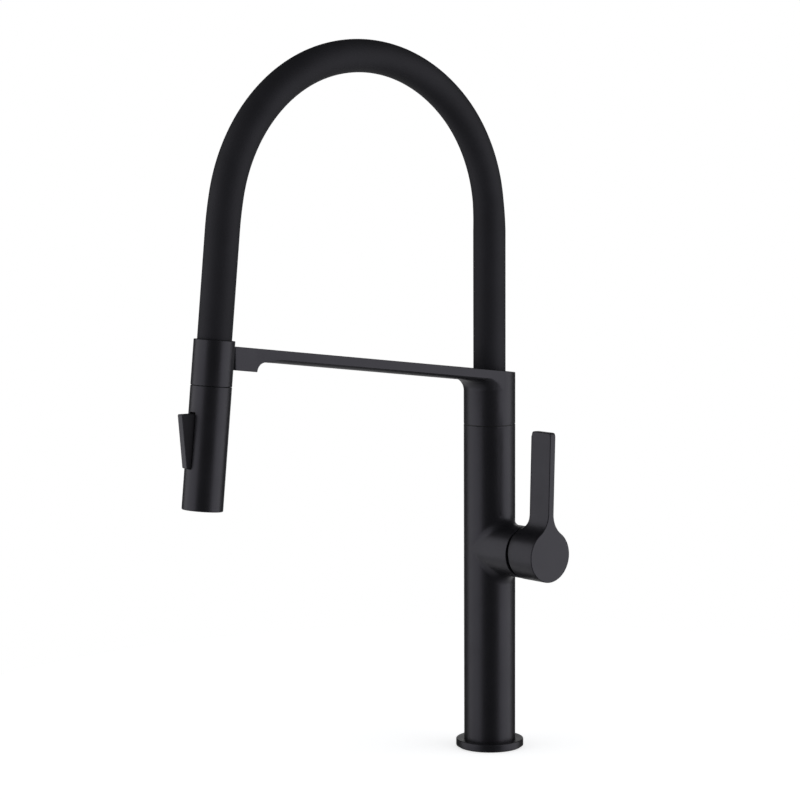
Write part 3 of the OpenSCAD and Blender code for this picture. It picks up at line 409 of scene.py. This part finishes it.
def dome_arc(radius, near, far, steps=14):
    """An arc of the dome about the pin from one distance off the axis to another: (radius sin b, radius cos b)."""
    b = np.linspace(math.asin(near / radius), math.asin(far / radius), steps)
    return np.stack([radius * np.sin(b), pivot_x + radius * np.cos(b)], -1)


dome_foot = bore_r - 2 * slip_fit
web_x = boss_reach - dome_t
trim = welded("trim_ring_domed", [along_boss(turned(closed(np.concatenate([
    [[dome_foot, trim_x]], dome_arc(dome_r, dome_foot, dome_open + dome_lip),
    dome_arc(dome_r - dome_t, dome_open, dome_foot - dome_t),
    [[dome_foot - dome_t, web_x], [trim_bore, web_x], [trim_bore, trim_x]]]))))])
trim.data.materials.append(black_coat)
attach(trim, "stand")
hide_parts("trim_ring")

# ------------------------
# Lever: a zinc cap that covers the cartridge, with a flat blade standing on it. The blade's broad sides and its back
# run down into the cap in fillets; a grub screw under the cap, behind a plug, holds it on the cartridge's stem.
# ------------------------
cap_r, cap_x, cap_slant, cap_bore_r, cap_floor_x, lever_face = 19.15, 40.6, 4.0, 16.75, 60.6, 65.1
blade_top, blade_half, blade_back, side_r, back_r, corner_r, tip_r = 89.7, 2.65, 45.1, 17.7, 5.5, 2.5, 0.9
edge_r, rim_edge = 0.7, 0.4
grub_x, grub_r, grub_low, grub_high = 51.6, 2.5, 120.0, 140.0
hub_r, stem_bore_r, hub_x, hub_sunk = 7.0, 3.55, 46.6, 0.5
lever_set = math.radians(1.7)


def keyhole(cap_n=56, fillet_n=28, blade_n=30, tip_n=8):
    """Half the lever's outline seen along the boss: (height, half width) points and the outward directions there.
    It runs up the cap's circle to where the fillet circle touches it, round the fillet, up the blade's side, round a
    small corner and in along the top."""
    reach = cap_r + side_r
    fillet_w = blade_half + side_r
    fillet_h = math.sqrt(reach ** 2 - fillet_w ** 2)
    touch = math.atan2(fillet_w, fillet_h)
    a = np.linspace(np.pi, touch, cap_n)
    cap = np.stack([np.cos(a), np.sin(a)], -1)
    b = np.linspace(math.atan2(fillet_h, fillet_w), 0, fillet_n)[1:]
    fillet = np.stack([np.sin(b), np.cos(b)], -1)
    h = np.linspace(fillet_h, blade_top - tip_r, blade_n)[1:-1]
    c = np.linspace(0, np.pi / 2, tip_n)
    tip = np.stack([np.sin(c), np.cos(c)], -1)
    points = np.concatenate([
        cap_r * cap, [fillet_h, fillet_w] - side_r * fillet, np.stack([h, blade_half + 0 * h], -1),
        [blade_top - tip_r, blade_half - tip_r] + tip_r * tip, [[blade_top, 0.0]]])
    normals = np.concatenate([cap, fillet, np.tile([0.0, 1.0], (len(h), 1)), tip, [[1.0, 0.0]]])
    return points, normals


def lever_front_x(height):
    """The lever's face: flat, and turned back in an arc at the blade's upper corner."""
    past = np.clip(height - (blade_top - corner_r), 0, corner_r)
    return lever_face - corner_r + np.sqrt(corner_r ** 2 - past ** 2)


def lever_back_x(height, distance):
    """The lever's back at a distance from the cap's axis: an arc of back_r that rises from the cap's wall to the
    blade's flat back, which turns forward in an arc at its upper corner."""
    below = np.clip(cap_r + back_r - distance, 0, back_r)
    past = np.clip(height - (blade_top - corner_r), 0, corner_r)
    return blade_back - back_r + np.sqrt(back_r ** 2 - below ** 2) + corner_r - np.sqrt(corner_r ** 2 - past ** 2)


def lever_shell():
    """Half the lever's surface as one grid, stations along the half outline by steps of a path that starts inside
    the cap: cavity floor and wall, slanted rim, cap wall, back fillet, blade's back, rounded edge, side, rounded
    edge and face. The other half is its mirror image."""
    outline, out = keyhole()
    reach = np.linalg.norm(outline, axis=1)
    towards = outline / reach[:, None]
    n = len(outline)

    def rim_x(height):
        return cap_x - height * math.tan(math.radians(cap_slant))

    rows = []

    def row(points, x):
        rows.append(np.concatenate([points, np.broadcast_to(x, n)[:, None]], -1))

    row(0 * outline, cap_floor_x)
    row(cap_bore_r * towards, cap_floor_x)
    for quarter in np.linspace(0, np.pi / 2, 4):
        ring = (cap_bore_r + rim_edge * (1 - math.cos(quarter))) * towards
        row(ring, rim_x(ring[:, 0]) + rim_edge * (1 - math.sin(quarter)))
    for quarter in np.linspace(0, np.pi / 2, 4):
        ring = (cap_r - rim_edge * (1 - math.sin(quarter))) * towards
        row(ring, rim_x(ring[:, 0]) + rim_edge * (1 - math.cos(quarter)))
    wall = reach <= cap_r + 1e-6
    start_x = np.where(wall, rim_x(outline[:, 0]) + rim_edge, blade_back - back_r)
    row(cap_r * towards, start_x)
    fillet_rows = cap_r + back_r * (1 - np.cos(np.linspace(0, np.pi / 2, 15)))[1:]
    blade_rows = [32, 40, 60, 80, 86]
    last = np.maximum(reach - edge_r * 1.5, cap_r)
    for distance in (*fillet_rows, *blade_rows):
        at = np.minimum(distance, last)
        points = at[:, None] * towards
        row(points, np.where(wall, start_x, lever_back_x(points[:, 0], at)))
    for quarter in np.linspace(0, np.pi / 2, 5):
        points = outline - edge_r * (1 - math.sin(quarter)) * out
        back = lever_back_x(points[:, 0], np.maximum(np.linalg.norm(points, axis=1), cap_r))
        points = np.where(wall[:, None], outline, points)
        row(points, np.where(wall, start_x, back + edge_r * (1 - math.cos(quarter))))
    back = lever_back_x(outline[:, 0], np.maximum(reach, cap_r)) + edge_r
    back = np.where(wall, start_x, back)
    for share in (0.25, 0.5, 0.75):
        row(outline, back + share * (lever_front_x(outline[:, 0]) - edge_r - back))
    for quarter in np.linspace(0, np.pi / 2, 6):
        points = outline - edge_r * (1 - math.cos(quarter)) * out
        row(points, lever_front_x(points[:, 0]) - edge_r * (1 - math.sin(quarter)))
    for share in (0.995, 0.99, 0.985, 0.975, 0.96, 0.5, 0.0):
        points = share * (outline - edge_r * out)
        row(points, lever_front_x(points[:, 0]))
    grid = np.stack(rows)
    half = np.stack([grid[..., 2], grid[..., 1], valve_z + grid[..., 0]], -1)
    return [half, half * [1, -1, 1]]


def on_stem(patch):
    """Turns a patch about the boss's axis by lever_set, so that the blade leans away from the spout.
    With h the height over the axis: y becomes y cos + h sin, and h becomes h cos - y sin."""
    y, h = patch[..., 1], patch[..., 2] - valve_z
    return np.stack([patch[..., 0], y * math.cos(lever_set) + h * math.sin(lever_set),
                     valve_z + h * math.cos(lever_set) - y * math.sin(lever_set)], -1)


def bored(obj, *cutters, sharp_deg=35):
    """Cuts bores out of a piece with closed cutting shapes, which are then removed."""
    for cutter in cutters:
        cut = obj.modifiers.new("bore", "BOOLEAN")
        cut.operation, cut.solver, cut.object = "DIFFERENCE", "EXACT", cutter
    solid = bpy.data.meshes.new_from_object(obj.evaluated_get(bpy.context.evaluated_depsgraph_get()))
    obj.modifiers.clear()
    obj.data = solid
    for cutter in cutters:
        bpy.data.objects.remove(cutter)
    solid.shade_smooth()
    solid.set_sharp_from_angle(angle=math.radians(sharp_deg))
    return obj


grub_hole = welded("grub_hole", [on_stem([grub_x, 0, 0] + turned(
    np.array([(0, grub_low), (grub_r, grub_low), (grub_r, grub_high), (0, grub_high)]),
    np.linspace(0, 2 * np.pi, 49)))])
lever = bored(welded("lever", [on_stem(patch) for patch in lever_shell()]), grub_hole)
lever.data.materials.append(black_coat)
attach(lever, "lever")
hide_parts("lever")

hub_end = cap_floor_x + hub_sunk
hub = welded("lever_hub", [along_boss(turned_ring(
    [(hub_r, hub_x), (hub_r, hub_end), (stem_bore_r, hub_end), (stem_bore_r, hub_x)], [0.5, 0, 0, 0.3]))])
hub.data.materials.append(black_coat)
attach(hub, "lever")

# ------------------------
# Arm: a cast collar that turns on the column, and a beam that leaves it tangentially, rises a little and tapers to a
# deeper block. Its top is one inclined plane, and the block's end is hollowed for the docking ring and a magnet.
# ------------------------
collar_z, collar_top, ring_above_arm, arm_t, tip_half, root_r = 241.8, 281.5, 5.2, 9.1, 4.8, 9.5
block_h, block_l, notch_r, tip_edge_r, wand_r, dock_r = 16.2, 19.6, 7.1, 2.0, 14.1, 14.4
# The hole that shows the magnet is narrower than the magnet, so it stays clear of the block's rounded ends
magnet_hole_r, magnet_hole_l = 2.4, 7.0
spigot_bore_r, spigot_bore_top, thread_bore_r, sleeve_seat_z, sleeve_seat_r = 14.55, 269.9, 8.0, 275.9, 12.15
# The sprayer's axis leans out as it goes down; it starts at the docking ring's top
sprayer = next(joint for joint in frame["record"]["behaviour"]["joints"] if joint["name"] == "wand_swivel")
ring_u, ring_z = -sprayer["pos_m"][1] / MM, sprayer["pos_m"][2] / MM
lean = math.asin(sprayer["axis"][1])
rise = (ring_z - ring_above_arm * math.cos(lean) - collar_top) / (ring_u - wand_r)


def arm_plane(u):
    """Height of the arm's top plane at a distance from the column's axis."""
    return collar_top + rise * u


ring_mid = ring_above_arm + block_h / 2
block_end = ring_u + ring_mid * math.sin(lean) - wand_r
block_start = block_end - block_l
taper = (column_r - tip_half) / block_start


def arm_outline():
    """Half the arm seen from above: (distance from the axis, half width) points and outward directions.
    The collar's circle from its back to where the taper leaves it, the taper's straight side, and the tip block's
    level side with its end rounded by tip_edge_r. That arc stops a little short of square, at 0.98 of its radius."""
    leave_u = 2 * column_r * taper / (1 + taper ** 2)
    leave = math.atan2(column_r - taper * leave_u, leave_u)
    a = np.linspace(np.pi, leave, 72)
    circle = np.stack([np.cos(a), np.sin(a)], -1)
    notch_u = block_start - notch_r
    u = np.concatenate([
        np.linspace(leave_u, column_r + root_r, 90)[1:], np.linspace(column_r + root_r, notch_u, 40)[1:],
        notch_u + notch_r * np.sin(np.linspace(0, np.pi / 2, 20))[1:],
        np.linspace(block_start, block_end - tip_edge_r, 8)[1:], block_end - tip_edge_r * np.linspace(0.75, 0, 4)])
    edge = 0.98 * np.clip(u - block_end + tip_edge_r, 0, tip_edge_r)
    rounding = np.sqrt(tip_edge_r ** 2 - edge ** 2)
    side = np.stack([u, column_r - taper * np.minimum(u, block_start) - tip_edge_r + rounding], -1)
    slope = np.where(u < block_start, taper, edge / rounding)
    slant = np.stack([slope, 0 * u + 1], -1) / np.hypot(slope, 1)[:, None]
    return np.concatenate([column_r * circle, side]), np.concatenate([circle, slant])


def arm_bottom(u, y):
    """Height of the arm's underside: a plane arm_t below the top, dropped to the collar by a ring-shaped fillet of
    root_r, and dropped to the tip block's foot by a quarter circle of notch_r. At 0.985 of its radius the fillet is
    nearly upright, and from there it runs on straight, at its slope there of 5.7, into the collar's wall."""
    far_up = 1e3
    flat = arm_plane(u) - arm_t
    root_top = arm_plane(column_r + root_r) - arm_t
    short = np.clip(column_r + root_r - np.hypot(u, y), 0, root_r + 1)
    along = np.minimum(short, 0.985 * root_r)
    drop = root_r - np.sqrt(root_r ** 2 - along ** 2) + 5.7 * (short - along)
    root = np.where(short > 0, root_top - drop, far_up)
    notch_u = block_start - notch_r
    foot = arm_plane(u) - block_h
    past = np.clip(u - notch_u, 0, notch_r)
    curve = arm_plane(notch_u) - block_h + np.sqrt(notch_r ** 2 - past ** 2)
    block = np.where(u > notch_u, np.where(u < block_start, np.maximum(curve, foot), foot), far_up)
    return np.minimum(np.minimum(flat, root), block)


def arm_shell(top_edge=0.45, crease_deg=38, across=48):
    """Half the arm as one grid, stations along the outline by steps round the section: out from the middle of the
    top, over the rounded upper edge, down the side, round the lower edge and in under the beam. The upper edge is a
    quarter arc set in from the outline along its own direction. The lower one starts at a crease, already turned in
    by an angle c, and ends level: with t from c to 90 degrees it is set in by r (cos c - cos t) and stands
    r (1 - sin t) over the underside. It is low_edge high: small at the collar and the block, larger between."""
    outline, out = arm_outline()
    u = outline[:, 0]
    small_edge, more_edge, fade_l = 0.4, 2.5, 12
    past_collar = np.clip(u / root_r, 0, 1)
    before_block = np.clip((block_start - notch_r - u) / fade_l, 0, 1)
    low_edge = small_edge + more_edge * np.minimum(past_collar, before_block)
    crease = math.radians(crease_deg)
    low_r = low_edge / (1 - math.sin(crease))
    rows = []

    def row(points, z):
        rows.append(np.concatenate([points, z[:, None]], -1))

    inset = outline - top_edge * out
    for share in (0.0, 0.5):
        points = inset * [1, share]
        row(points, arm_plane(points[:, 0]))
    for quarter in np.linspace(0, np.pi / 2, 5):
        points = outline - top_edge * (1 - math.sin(quarter)) * out
        row(points, arm_plane(points[:, 0]) - top_edge * (1 - math.cos(quarter)))
    upper = arm_plane(u) - top_edge
    lower = arm_bottom(u, outline[:, 1]) + low_edge
    for share in (0.2, 0.4, 0.6, 0.8):
        row(outline, upper + share * (lower - upper))
    for t in np.linspace(crease, np.pi / 2, 9):
        points = outline - (low_r * (math.cos(crease) - math.cos(t)))[:, None] * out
        row(points, arm_bottom(points[:, 0], points[:, 1]) + low_r * (1 - math.sin(t)))
    under = outline - (low_r * math.cos(crease))[:, None] * out
    for share in np.linspace(1, 0, across)[1:]:
        points = under * [1, share]
        row(points, arm_bottom(points[:, 0], points[:, 1]))
    return np.stack(rows)


def saddle_u(y, z):
    """The docking hollow: a cylinder of dock_r about the sprayer's leaning axis."""
    return ring_u + (ring_z - z) * math.tan(lean) - np.sqrt(dock_r ** 2 - y ** 2) / math.cos(lean)


def arm_patches():
    """The arm's two mirrored halves, their last station moved onto the docking hollow, and the hollow itself: a grid
    from that station's loop to the magnet's round hole, down its wall and across its floor."""
    half = arm_shell()
    reach = saddle_u(half[:, -1, 1], half[:, -1, 2])
    half[:, -1, 2] += rise * (reach - half[:, -1, 0])
    half[:, -1, 0] = saddle_u(half[:, -1, 1], half[:, -1, 2])
    loop = np.concatenate([half[:, -1], (half[:, -1] * [1, -1, 1])[::-1][1:]])
    mid_z = ring_z - ring_mid * math.cos(lean) - dock_r * math.sin(lean)
    way = np.arctan2(loop[:, 1], loop[:, 2] - mid_z)
    hole = np.stack([0 * way, magnet_hole_r * np.sin(way), mid_z + magnet_hole_r * np.cos(way)], -1)
    share = np.linspace(0, 1, 6)[:, None, None]
    face = (1 - share) * loop + share * hole
    face[..., 0] = saddle_u(face[..., 1], face[..., 2])
    rim = face[-1]
    centre = np.array([0.0, 0.0, mid_z])
    sunk = magnet_hole_l * math.tan(lean)
    well = np.stack([rim, rim - [magnet_hole_l, 0, sunk], np.tile(centre, (len(rim), 1))])
    well[2, :, 0] = well[1, :, 0].mean()
    well[2, :, 2] -= sunk
    return [half, half * [1, -1, 1], face, well]


def to_spout(patch):
    """Places a patch of (distance along the spout, sideways, height) points on the part."""
    return np.stack([patch[..., 1], -patch[..., 0], patch[..., 2]], -1)


# The bore's cutting shape runs out past the collar below and the arm above
cut_low, cut_high = 230.0, 300.0
collar_bore = np.array([
    (0, cut_low), (spigot_bore_r, cut_low), (spigot_bore_r, spigot_bore_top), (thread_bore_r, spigot_bore_top),
    (thread_bore_r, sleeve_seat_z), (sleeve_seat_r, sleeve_seat_z), (sleeve_seat_r, cut_high), (0, cut_high)])
arm = bored(welded("arm", [to_spout(patch) for patch in arm_patches()]), welded("collar_bore", [turned(collar_bore)]))
arm.data.materials.append(black_coat)
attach(arm, "spout")
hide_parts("arm")

# The collar's tube under the arm stands a hair inside the arm's own circle, which runs down over it
collar_r, collar_inner_top = column_r - 0.008, 268.0
collar = welded("collar", [turned_ring(
    [(collar_r, collar_z), (collar_r, collar_inner_top), (spigot_bore_r, collar_inner_top),
     (spigot_bore_r, collar_z)], [0.35, 0, 0, 0.3])])
collar.data.materials.append(black_coat)
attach(collar, "spout")

# ------------------------
# Hose: a black silicone sleeve over a riser tube and a flexible inner hose. It stands up from the collar, turns over
# in one arch and comes down, leaning out a little, into the docking ring.
# ------------------------
bend_deg = np.array([6.3, 41, 56, 64.8, 6])
bend_r = np.array([200, 112.5, 125.8, 117.4, 240])
bend_start_z, hose_end_l = 383.4, 73.5
sleeve_start_z, sleeve_past_ring, sleeve_wide_r, sleeve_slim_r, sleeve_t = 275.95, 2.65, 11.85, 11.3, 1.9
inner_start_z, inner_past_ring, inner_r, inner_bore_r = 278.4, 6.9, 6.0, 4.0


def hose_line(start_z, past_ring, step=2.0):
    """Points on the hose's centre line, (distance along the spout, height), and its heading from straight up.
    A straight rise, five arcs in turn, each centred a radius to the spout side of its start, and a straight end."""
    n = int((bend_start_z - start_z) / step)
    points = [np.stack([np.zeros(n), np.linspace(start_z, bend_start_z, n, endpoint=False)], -1)]
    turn = [np.zeros(n)]
    at, a = np.array([0.0, bend_start_z]), 0.0
    for sweep, r in zip(np.radians(bend_deg), bend_r):
        n = max(int(r * sweep / step), 2)
        t = np.linspace(a, a + sweep, n, endpoint=False)
        points.append(at + r * np.stack([np.cos(a) - np.cos(t), np.sin(t) - np.sin(a)], -1))
        turn.append(t)
        b = a + sweep
        at, a = at + r * np.array([np.cos(a) - np.cos(b), np.sin(b) - np.sin(a)]), b
    n = int((hose_end_l + past_ring) / step)
    far = np.linspace(0, hose_end_l + past_ring, n)[:, None]
    points.append(at + far * [np.sin(a), np.cos(a)])
    turn.append(np.full(n, a))
    return np.concatenate(points), np.concatenate(turn)


def hose_wall(line, turn, radius, sides=96):
    """A tube about a line: each ring stands square to the line's heading t, in the directions (cos t, -sin t)
    and y."""
    b = np.linspace(0, 2 * np.pi, sides + 1)[None, :]
    radius, t = np.broadcast_to(radius, turn.shape)[:, None], turn[:, None]
    return np.stack([line[:, :1] + radius * np.cos(b) * np.cos(t), radius * np.sin(b) + 0 * t,
                     line[:, 1:] - radius * np.cos(b) * np.sin(t)], -1)


def hose_patches(line, turn, outer, inner, sides=96):
    """Outer wall, inner wall and the two flat ends of a hose."""
    outside, inside = hose_wall(line, turn, outer, sides), hose_wall(line, turn, inner, sides)
    ends = [np.stack([outside[i], inside[i]]) for i in (0, -1)]
    return [to_spout(patch) for patch in (outside, inside, *ends)]


silicone = moulded_rubber("black_silicone", "#161618", "#1f1f22", rough=(0.62, 0.72), grain_mm=0.4, grit_um=9)
line, turn = hose_line(sleeve_start_z, sleeve_past_ring)
# The sleeve is a little slimmer where the arch begins
sleeve_r = np.interp(np.degrees(turn), [0, bend_deg[0], bend_deg.sum()],
                     [sleeve_wide_r, sleeve_slim_r, sleeve_wide_r])
sleeve = welded("silicone_sleeve", hose_patches(line, turn, sleeve_r, sleeve_r - sleeve_t))
sleeve.data.materials.append(silicone)
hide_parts("hose_sleeve")
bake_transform(sleeve)

nylon = moulded_rubber("black_nylon_hose", "#242428", "#3a3a40", rough=(0.45, 0.6), grain_mm=0.8, grit_um=30)
line, turn = hose_line(inner_start_z, inner_past_ring, step=4.0)
inner_hose = welded("inner_water_hose", hose_patches(line, turn, inner_r, inner_bore_r, sides=40))
inner_hose.data.materials.append(nylon)
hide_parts("inner_hose")
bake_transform(inner_hose)

# ------------------------
# Docking ring: a coated ring on the hose's lower end, with a steel keeper behind a thin skin that the arm's magnet
# holds. The sleeve ends in its upper recess.
# ------------------------


def to_sprayer(patch):
    """Places a patch made about Z, 0 at the ring's top, on the sprayer's axis: x points away from the column."""
    x, y, z = patch[..., 0], patch[..., 1], patch[..., 2]
    return np.stack([y, -(ring_u + x * math.cos(lean) - z * math.sin(lean)),
                     ring_z + x * math.sin(lean) + z * math.cos(lean)], -1)


ring_l, seat_l, web_l, nipple_bore_r, wand_wall = 31.0, 3.0, 15.6, 8.5, 2.6
shell_bore_r = wand_r - wand_wall
ring = welded("docking_ring", [to_sprayer(turned_ring(
    [(wand_r, -ring_l), (wand_r, 0), (sleeve_seat_r, 0), (sleeve_seat_r, -seat_l), (nipple_bore_r, -seat_l),
     (nipple_bore_r, -web_l), (shell_bore_r, -web_l), (shell_bore_r, -ring_l)],
    [0.3, 0.5, 0.25, 0, 0, 0, 0, 0]))])
ring.data.materials.append(black_coat)
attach(ring, "hose_end")
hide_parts("docking_ring")

# ------------------------
# Wand: the sprayer's coated shell, a plain tube with a slot for the trigger, which two ribs inside carry on a pin.
# ------------------------
ring_gap, wand_l = 0.3, 84.3
wand_top = ring_l + ring_gap
wand_end = wand_top + wand_l
trigger_z, trigger_l, trigger_w, trigger_gap, cheek_t = wand_top + 18.9, 37.2, 5.1, 0.5, 2.4
trigger_end = trigger_z + trigger_l


def plate(outline, half, edge, steps=4):
    """A flat plate of any rounded outline, given in its plane as (a, b) points that run round a centre.
    Rows go from the centre of one face out to its edge, round a quarter arc set in from the outline along the
    outline's own direction, across the rim and back in on the other face."""
    outline = closed(outline)
    ahead, back = np.roll(outline[:-1], -1, 0), np.roll(outline[:-1], 1, 0)
    along = ahead - back
    out = np.stack([along[:, 1], -along[:, 0]], -1) / np.linalg.norm(along, axis=1, keepdims=True)
    centre = outline[:-1].mean(0)
    out *= np.sign(((outline[:-1] - centre) * out).sum(1).mean())
    out = closed(out)
    quarters = np.linspace(0, np.pi / 2, steps + 1)
    inset = np.concatenate([[edge], edge * (1 - np.sin(quarters))])
    level = np.concatenate([[half], half - edge * (1 - np.cos(quarters))])
    inset, level = np.concatenate([inset, inset[::-1]]), np.concatenate([level, -level[::-1]])
    spread = np.ones(len(inset))
    spread[[0, -1]] = 0
    points = outline[None] - inset[:, None, None] * out[None]
    points = centre + spread[:, None, None] * (points - centre)
    return np.concatenate([points, np.broadcast_to(level[:, None, None], points.shape[:2] + (1,))], -1)


def upright(patch, a, b, c):
    """Reorders a plate's in-plane, in-plane and thickness values to the sprayer's x, y and z."""
    return np.stack([patch[..., a], patch[..., b], patch[..., c]], -1)


slot_half = trigger_w / 2 + trigger_gap
slot_top, slot_bottom = trigger_z - 2 * trigger_gap, trigger_end + trigger_gap
slot_outline = rounded([(-slot_half, -slot_bottom), (slot_half, -slot_bottom), (slot_half, -slot_top),
                        (-slot_half, -slot_top)], 0.7)
slot_mid_x, slot_reach = 19.5, 12
slot_shape = upright(plate(slot_outline, slot_reach, 0.01), 2, 0, 1) + [slot_mid_x, 0, 0]
shell = welded("wand_shell", [to_sprayer(turned_ring(
    [(wand_r, -wand_end), (wand_r, -wand_top), (shell_bore_r, -wand_top), (shell_bore_r, -wand_end)],
    [0.8, 0.3, 0, 0.3]))])
shell = bored(shell, welded("trigger_slot", [to_sprayer(slot_shape)]))
shell.data.materials.append(black_coat)
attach(shell, "wand")
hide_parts("wand_body")

cheek_in, cheek_out, cheek_low, cheek_high = 7.4, 11.6, -trigger_end - 2, -trigger_end + 8
cheek_outline = rounded([(cheek_in, cheek_low), (cheek_out, cheek_low), (cheek_out, cheek_high),
                         (cheek_in, cheek_high)], 0.6)
cheeks = welded("trigger_cheeks", [to_sprayer(
    upright(plate(cheek_outline, cheek_t / 2, 0.2), 0, 2, 1) + [0, side * (slot_half + cheek_t / 2), 0])
    for side in (-1, 1)])
cheeks.data.materials.append(black_coat)
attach(cheeks, "wand")

# ------------------------
# Trigger: a moulded wedge that rocks on the pin near its lower end and pushes the diverter, to change from jet to
# spray. Its upper end stands out for a thumb. Its outer face is smooth. Its sides and back are textured, and they are
# painted darker as painted shade.
# ------------------------
pin_x, pin_depth, pin_wall = wand_r - 3.6, trigger_end - 3, 2.6
thumb_x, heel_x, trigger_back, foot_x = wand_r + 10.4, wand_r + 3.3, wand_r - 1.7, pin_x - pin_wall
foot_z = -pin_depth + pin_wall
trigger_outline = rounded(
    [(trigger_back, -trigger_z), (thumb_x, -trigger_z - 1), (heel_x, -trigger_end), (foot_x, -trigger_end),
     (foot_x, foot_z), (trigger_back, foot_z + trigger_back - foot_x)], [0.4, 0.9, 0.9, 1.0, 0.6, 0.6])
trigger = welded("trigger", [to_sprayer(upright(plate(trigger_outline, trigger_w / 2, 0.35), 0, 2, 1))])
black_plastic = coated_black("black_moulded_plastic", "#1a1a1c", "#1f1f21", rough=(0.34, 0.42), grain_mm=0.7)
trigger.data.materials.append(black_plastic)
# The sides and back get a rougher, darker copy of the plastic: the rougher grain is the moulding's, and the darker
# colour is painted shade
trigger.data.materials.append(moulded_rubber("black_textured_plastic_painted_shade", "#0c0c0d", "#151516", rough=(0.6, 0.7)))
# A face gets the darker, textured copy with its painted shade unless it points away from the wand's axis
normals = np.empty(3 * len(trigger.data.polygons))
trigger.data.polygons.foreach_get("normal", normals)
outward = normals.reshape(-1, 3) @ [0, -math.cos(lean), math.sin(lean)]
trigger.data.polygons.foreach_set("material_index", (outward < 0.1).astype(int))
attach(trigger, "trigger")
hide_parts("trigger")

# ------------------------
# Spray face: a plastic disc in the wand's mouth, with two rings of soft nozzles that rub clean, round an aerator.
# ------------------------
face_sunk, face_t, mat_t, aerator_r = 0.6, 3.5, 2.0, 4.6
nozzle_r, nozzle_flare, nozzle_tip, nozzle_l, nozzle_rings = 0.75, 0.2, 0.4, 3.0, ((9.4, 18), (7.0, 12))
face_low = wand_end - face_sunk
face_high = face_low - face_t
disc_r, disc_bore_r = shell_bore_r - slip_fit, aerator_r + slip_fit
face_disc = welded("spray_face", [to_sprayer(turned_ring(
    [(disc_r, -face_low), (disc_r, -face_high), (disc_bore_r, -face_high), (disc_bore_r, -face_low)],
    [0.35, 0, 0, 0.25]))])
face_disc.data.materials.append(black_plastic)
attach(face_disc, "wand")
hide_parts("spray_face")

nozzle_profile = rounded(
    [(nozzle_r + nozzle_flare, 0.3), (nozzle_r - slip_fit, -nozzle_tip), (nozzle_r / 2, -nozzle_tip),
     (nozzle_r / 2, nozzle_l), (nozzle_r + nozzle_flare, nozzle_l)], [0, 0.15, 0.1, 0, 0], steps=3)
nozzle = turned(closed(nozzle_profile), np.linspace(0, 2 * np.pi, 21))
spots = np.concatenate([
    np.stack([r * np.cos(a), r * np.sin(a), 0 * a], -1)
    for r, n in nozzle_rings for a in [np.arange(n) * 2 * np.pi / n]])
mat_disc = turned(closed(np.array([(disc_r, face_t), (disc_r, face_t + mat_t), (disc_bore_r, face_t + mat_t),
                                   (disc_bore_r, face_t)])))
nozzles = welded("nozzle_mat", [to_sprayer(patch + [0, 0, -face_low]) for patch in
                                [mat_disc] + [nozzle + spot for spot in spots]])
nozzles.data.materials.append(moulded_rubber("grey_silicone_nozzles", "#3a3b3d", "#4a4b4d", rough=(0.45, 0.6)))
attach(nozzles, "wand")
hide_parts("nozzle_mat")

# ------------------------
# Inside: the pieces that the shells hide keep their solid's shape. The swivel nut shows in the seam under the docking
# ring and has the coat; the slip ring shows as a fine black line under the collar.
# ------------------------


def plain_metal(name, colour, shade, rough, line_mm):
    """Turned or drawn metal: fine tool lines along Z, a little darker and rougher in their valleys, which stretch a
    highlight across the piece. A wave of scale 1 makes about 6.3 light and dark lines in a metre."""
    finish, tree, shader, at = new_finish(name)
    lines = add_node(tree, "ShaderNodeTexWave", {"Vector": at, "Scale": 1 / (line_mm * MM) / 6.3, "Distortion": 1.5,
                     "Detail": 2.0}, bands_direction="Z")
    mixed = two_tone(tree, lines.outputs["Fac"], shade, colour)
    gloss = add_node(tree, "ShaderNodeMapRange", {"Value": lines.outputs["Fac"], "To Min": rough + 0.08,
                     "To Max": rough})
    bump = add_node(tree, "ShaderNodeBump", {"Height": lines.outputs["Fac"], "Strength": 0.3, "Distance": 5 * UM})
    feed(tree, shader, {"Base Color": mixed, "Roughness": gloss.outputs["Result"],
         "Normal": bump.outputs["Normal"], "Metallic": 1.0})
    return finish


def plain_solid(name, colour, shade, rough, grain_mm):
    """Moulded or pressed material, such as acetal or ceramic: even, with a faint speckle that keeps it from looking
    like glass."""
    finish, tree, shader, at = new_finish(name)
    speck = mottle(tree, at, grain_mm, 2.0)
    mixed = two_tone(tree, speck, shade, colour)
    gloss = add_node(tree, "ShaderNodeMapRange", {"Value": speck, "To Min": rough - 0.05, "To Max": rough + 0.05})
    feed(tree, shader, {"Base Color": mixed, "Roughness": gloss.outputs["Result"]})
    return finish


brass = plain_metal("machined_brass", "#c39a52", "#a88240", 0.28, 0.3)
copper = plain_metal("drawn_copper", "#c0785a", "#a8654a", 0.3, 0.5)
steel = plain_metal("stainless_steel", "#b8babd", "#9fa1a4", 0.25, 0.3)
ceramic = plain_solid("alumina_ceramic", "#ece9e2", "#e2dfd8", 0.2, 0.4)
acetal = plain_solid("white_acetal", "#dad8d2", "#cfcdc6", 0.4, 0.6)
black_acetal = plain_solid("black_acetal_ring", "#0d0d0e", "#09090a", 0.55, 0.6)
for finish, hidden_nodes in (
        (brass, "foot_insert valve_block cartridge_nut swivel_spigot hose_nipple swivel_nipple"),
        (copper, "outlet_tube"),
        (steel, "stem_pin lever_stem lever_set_screw collar_set_screw dock_magnet riser_tube ring_keeper"),
        (steel, "hose_ferrule trigger_pin diverter_plunger"),
        (ceramic, "fixed_disc moving_disc"),
        (acetal, "cartridge_body cartridge_carrier wand_core aerator"),
        (black_acetal, "slip_ring"),
        (black_plastic, "set_screw_plug"),
        (black_coat, "swivel_nut"),
        (black_rubber, "hot_port_seal cold_port_seal mixed_port_seal"),
        (black_rubber, "lower_spigot_seal upper_spigot_seal swivel_seal")):
    for node in hidden_nodes.split():
        materials = frame["nodes"][node].data.materials
        materials.clear()
        materials.append(finish)
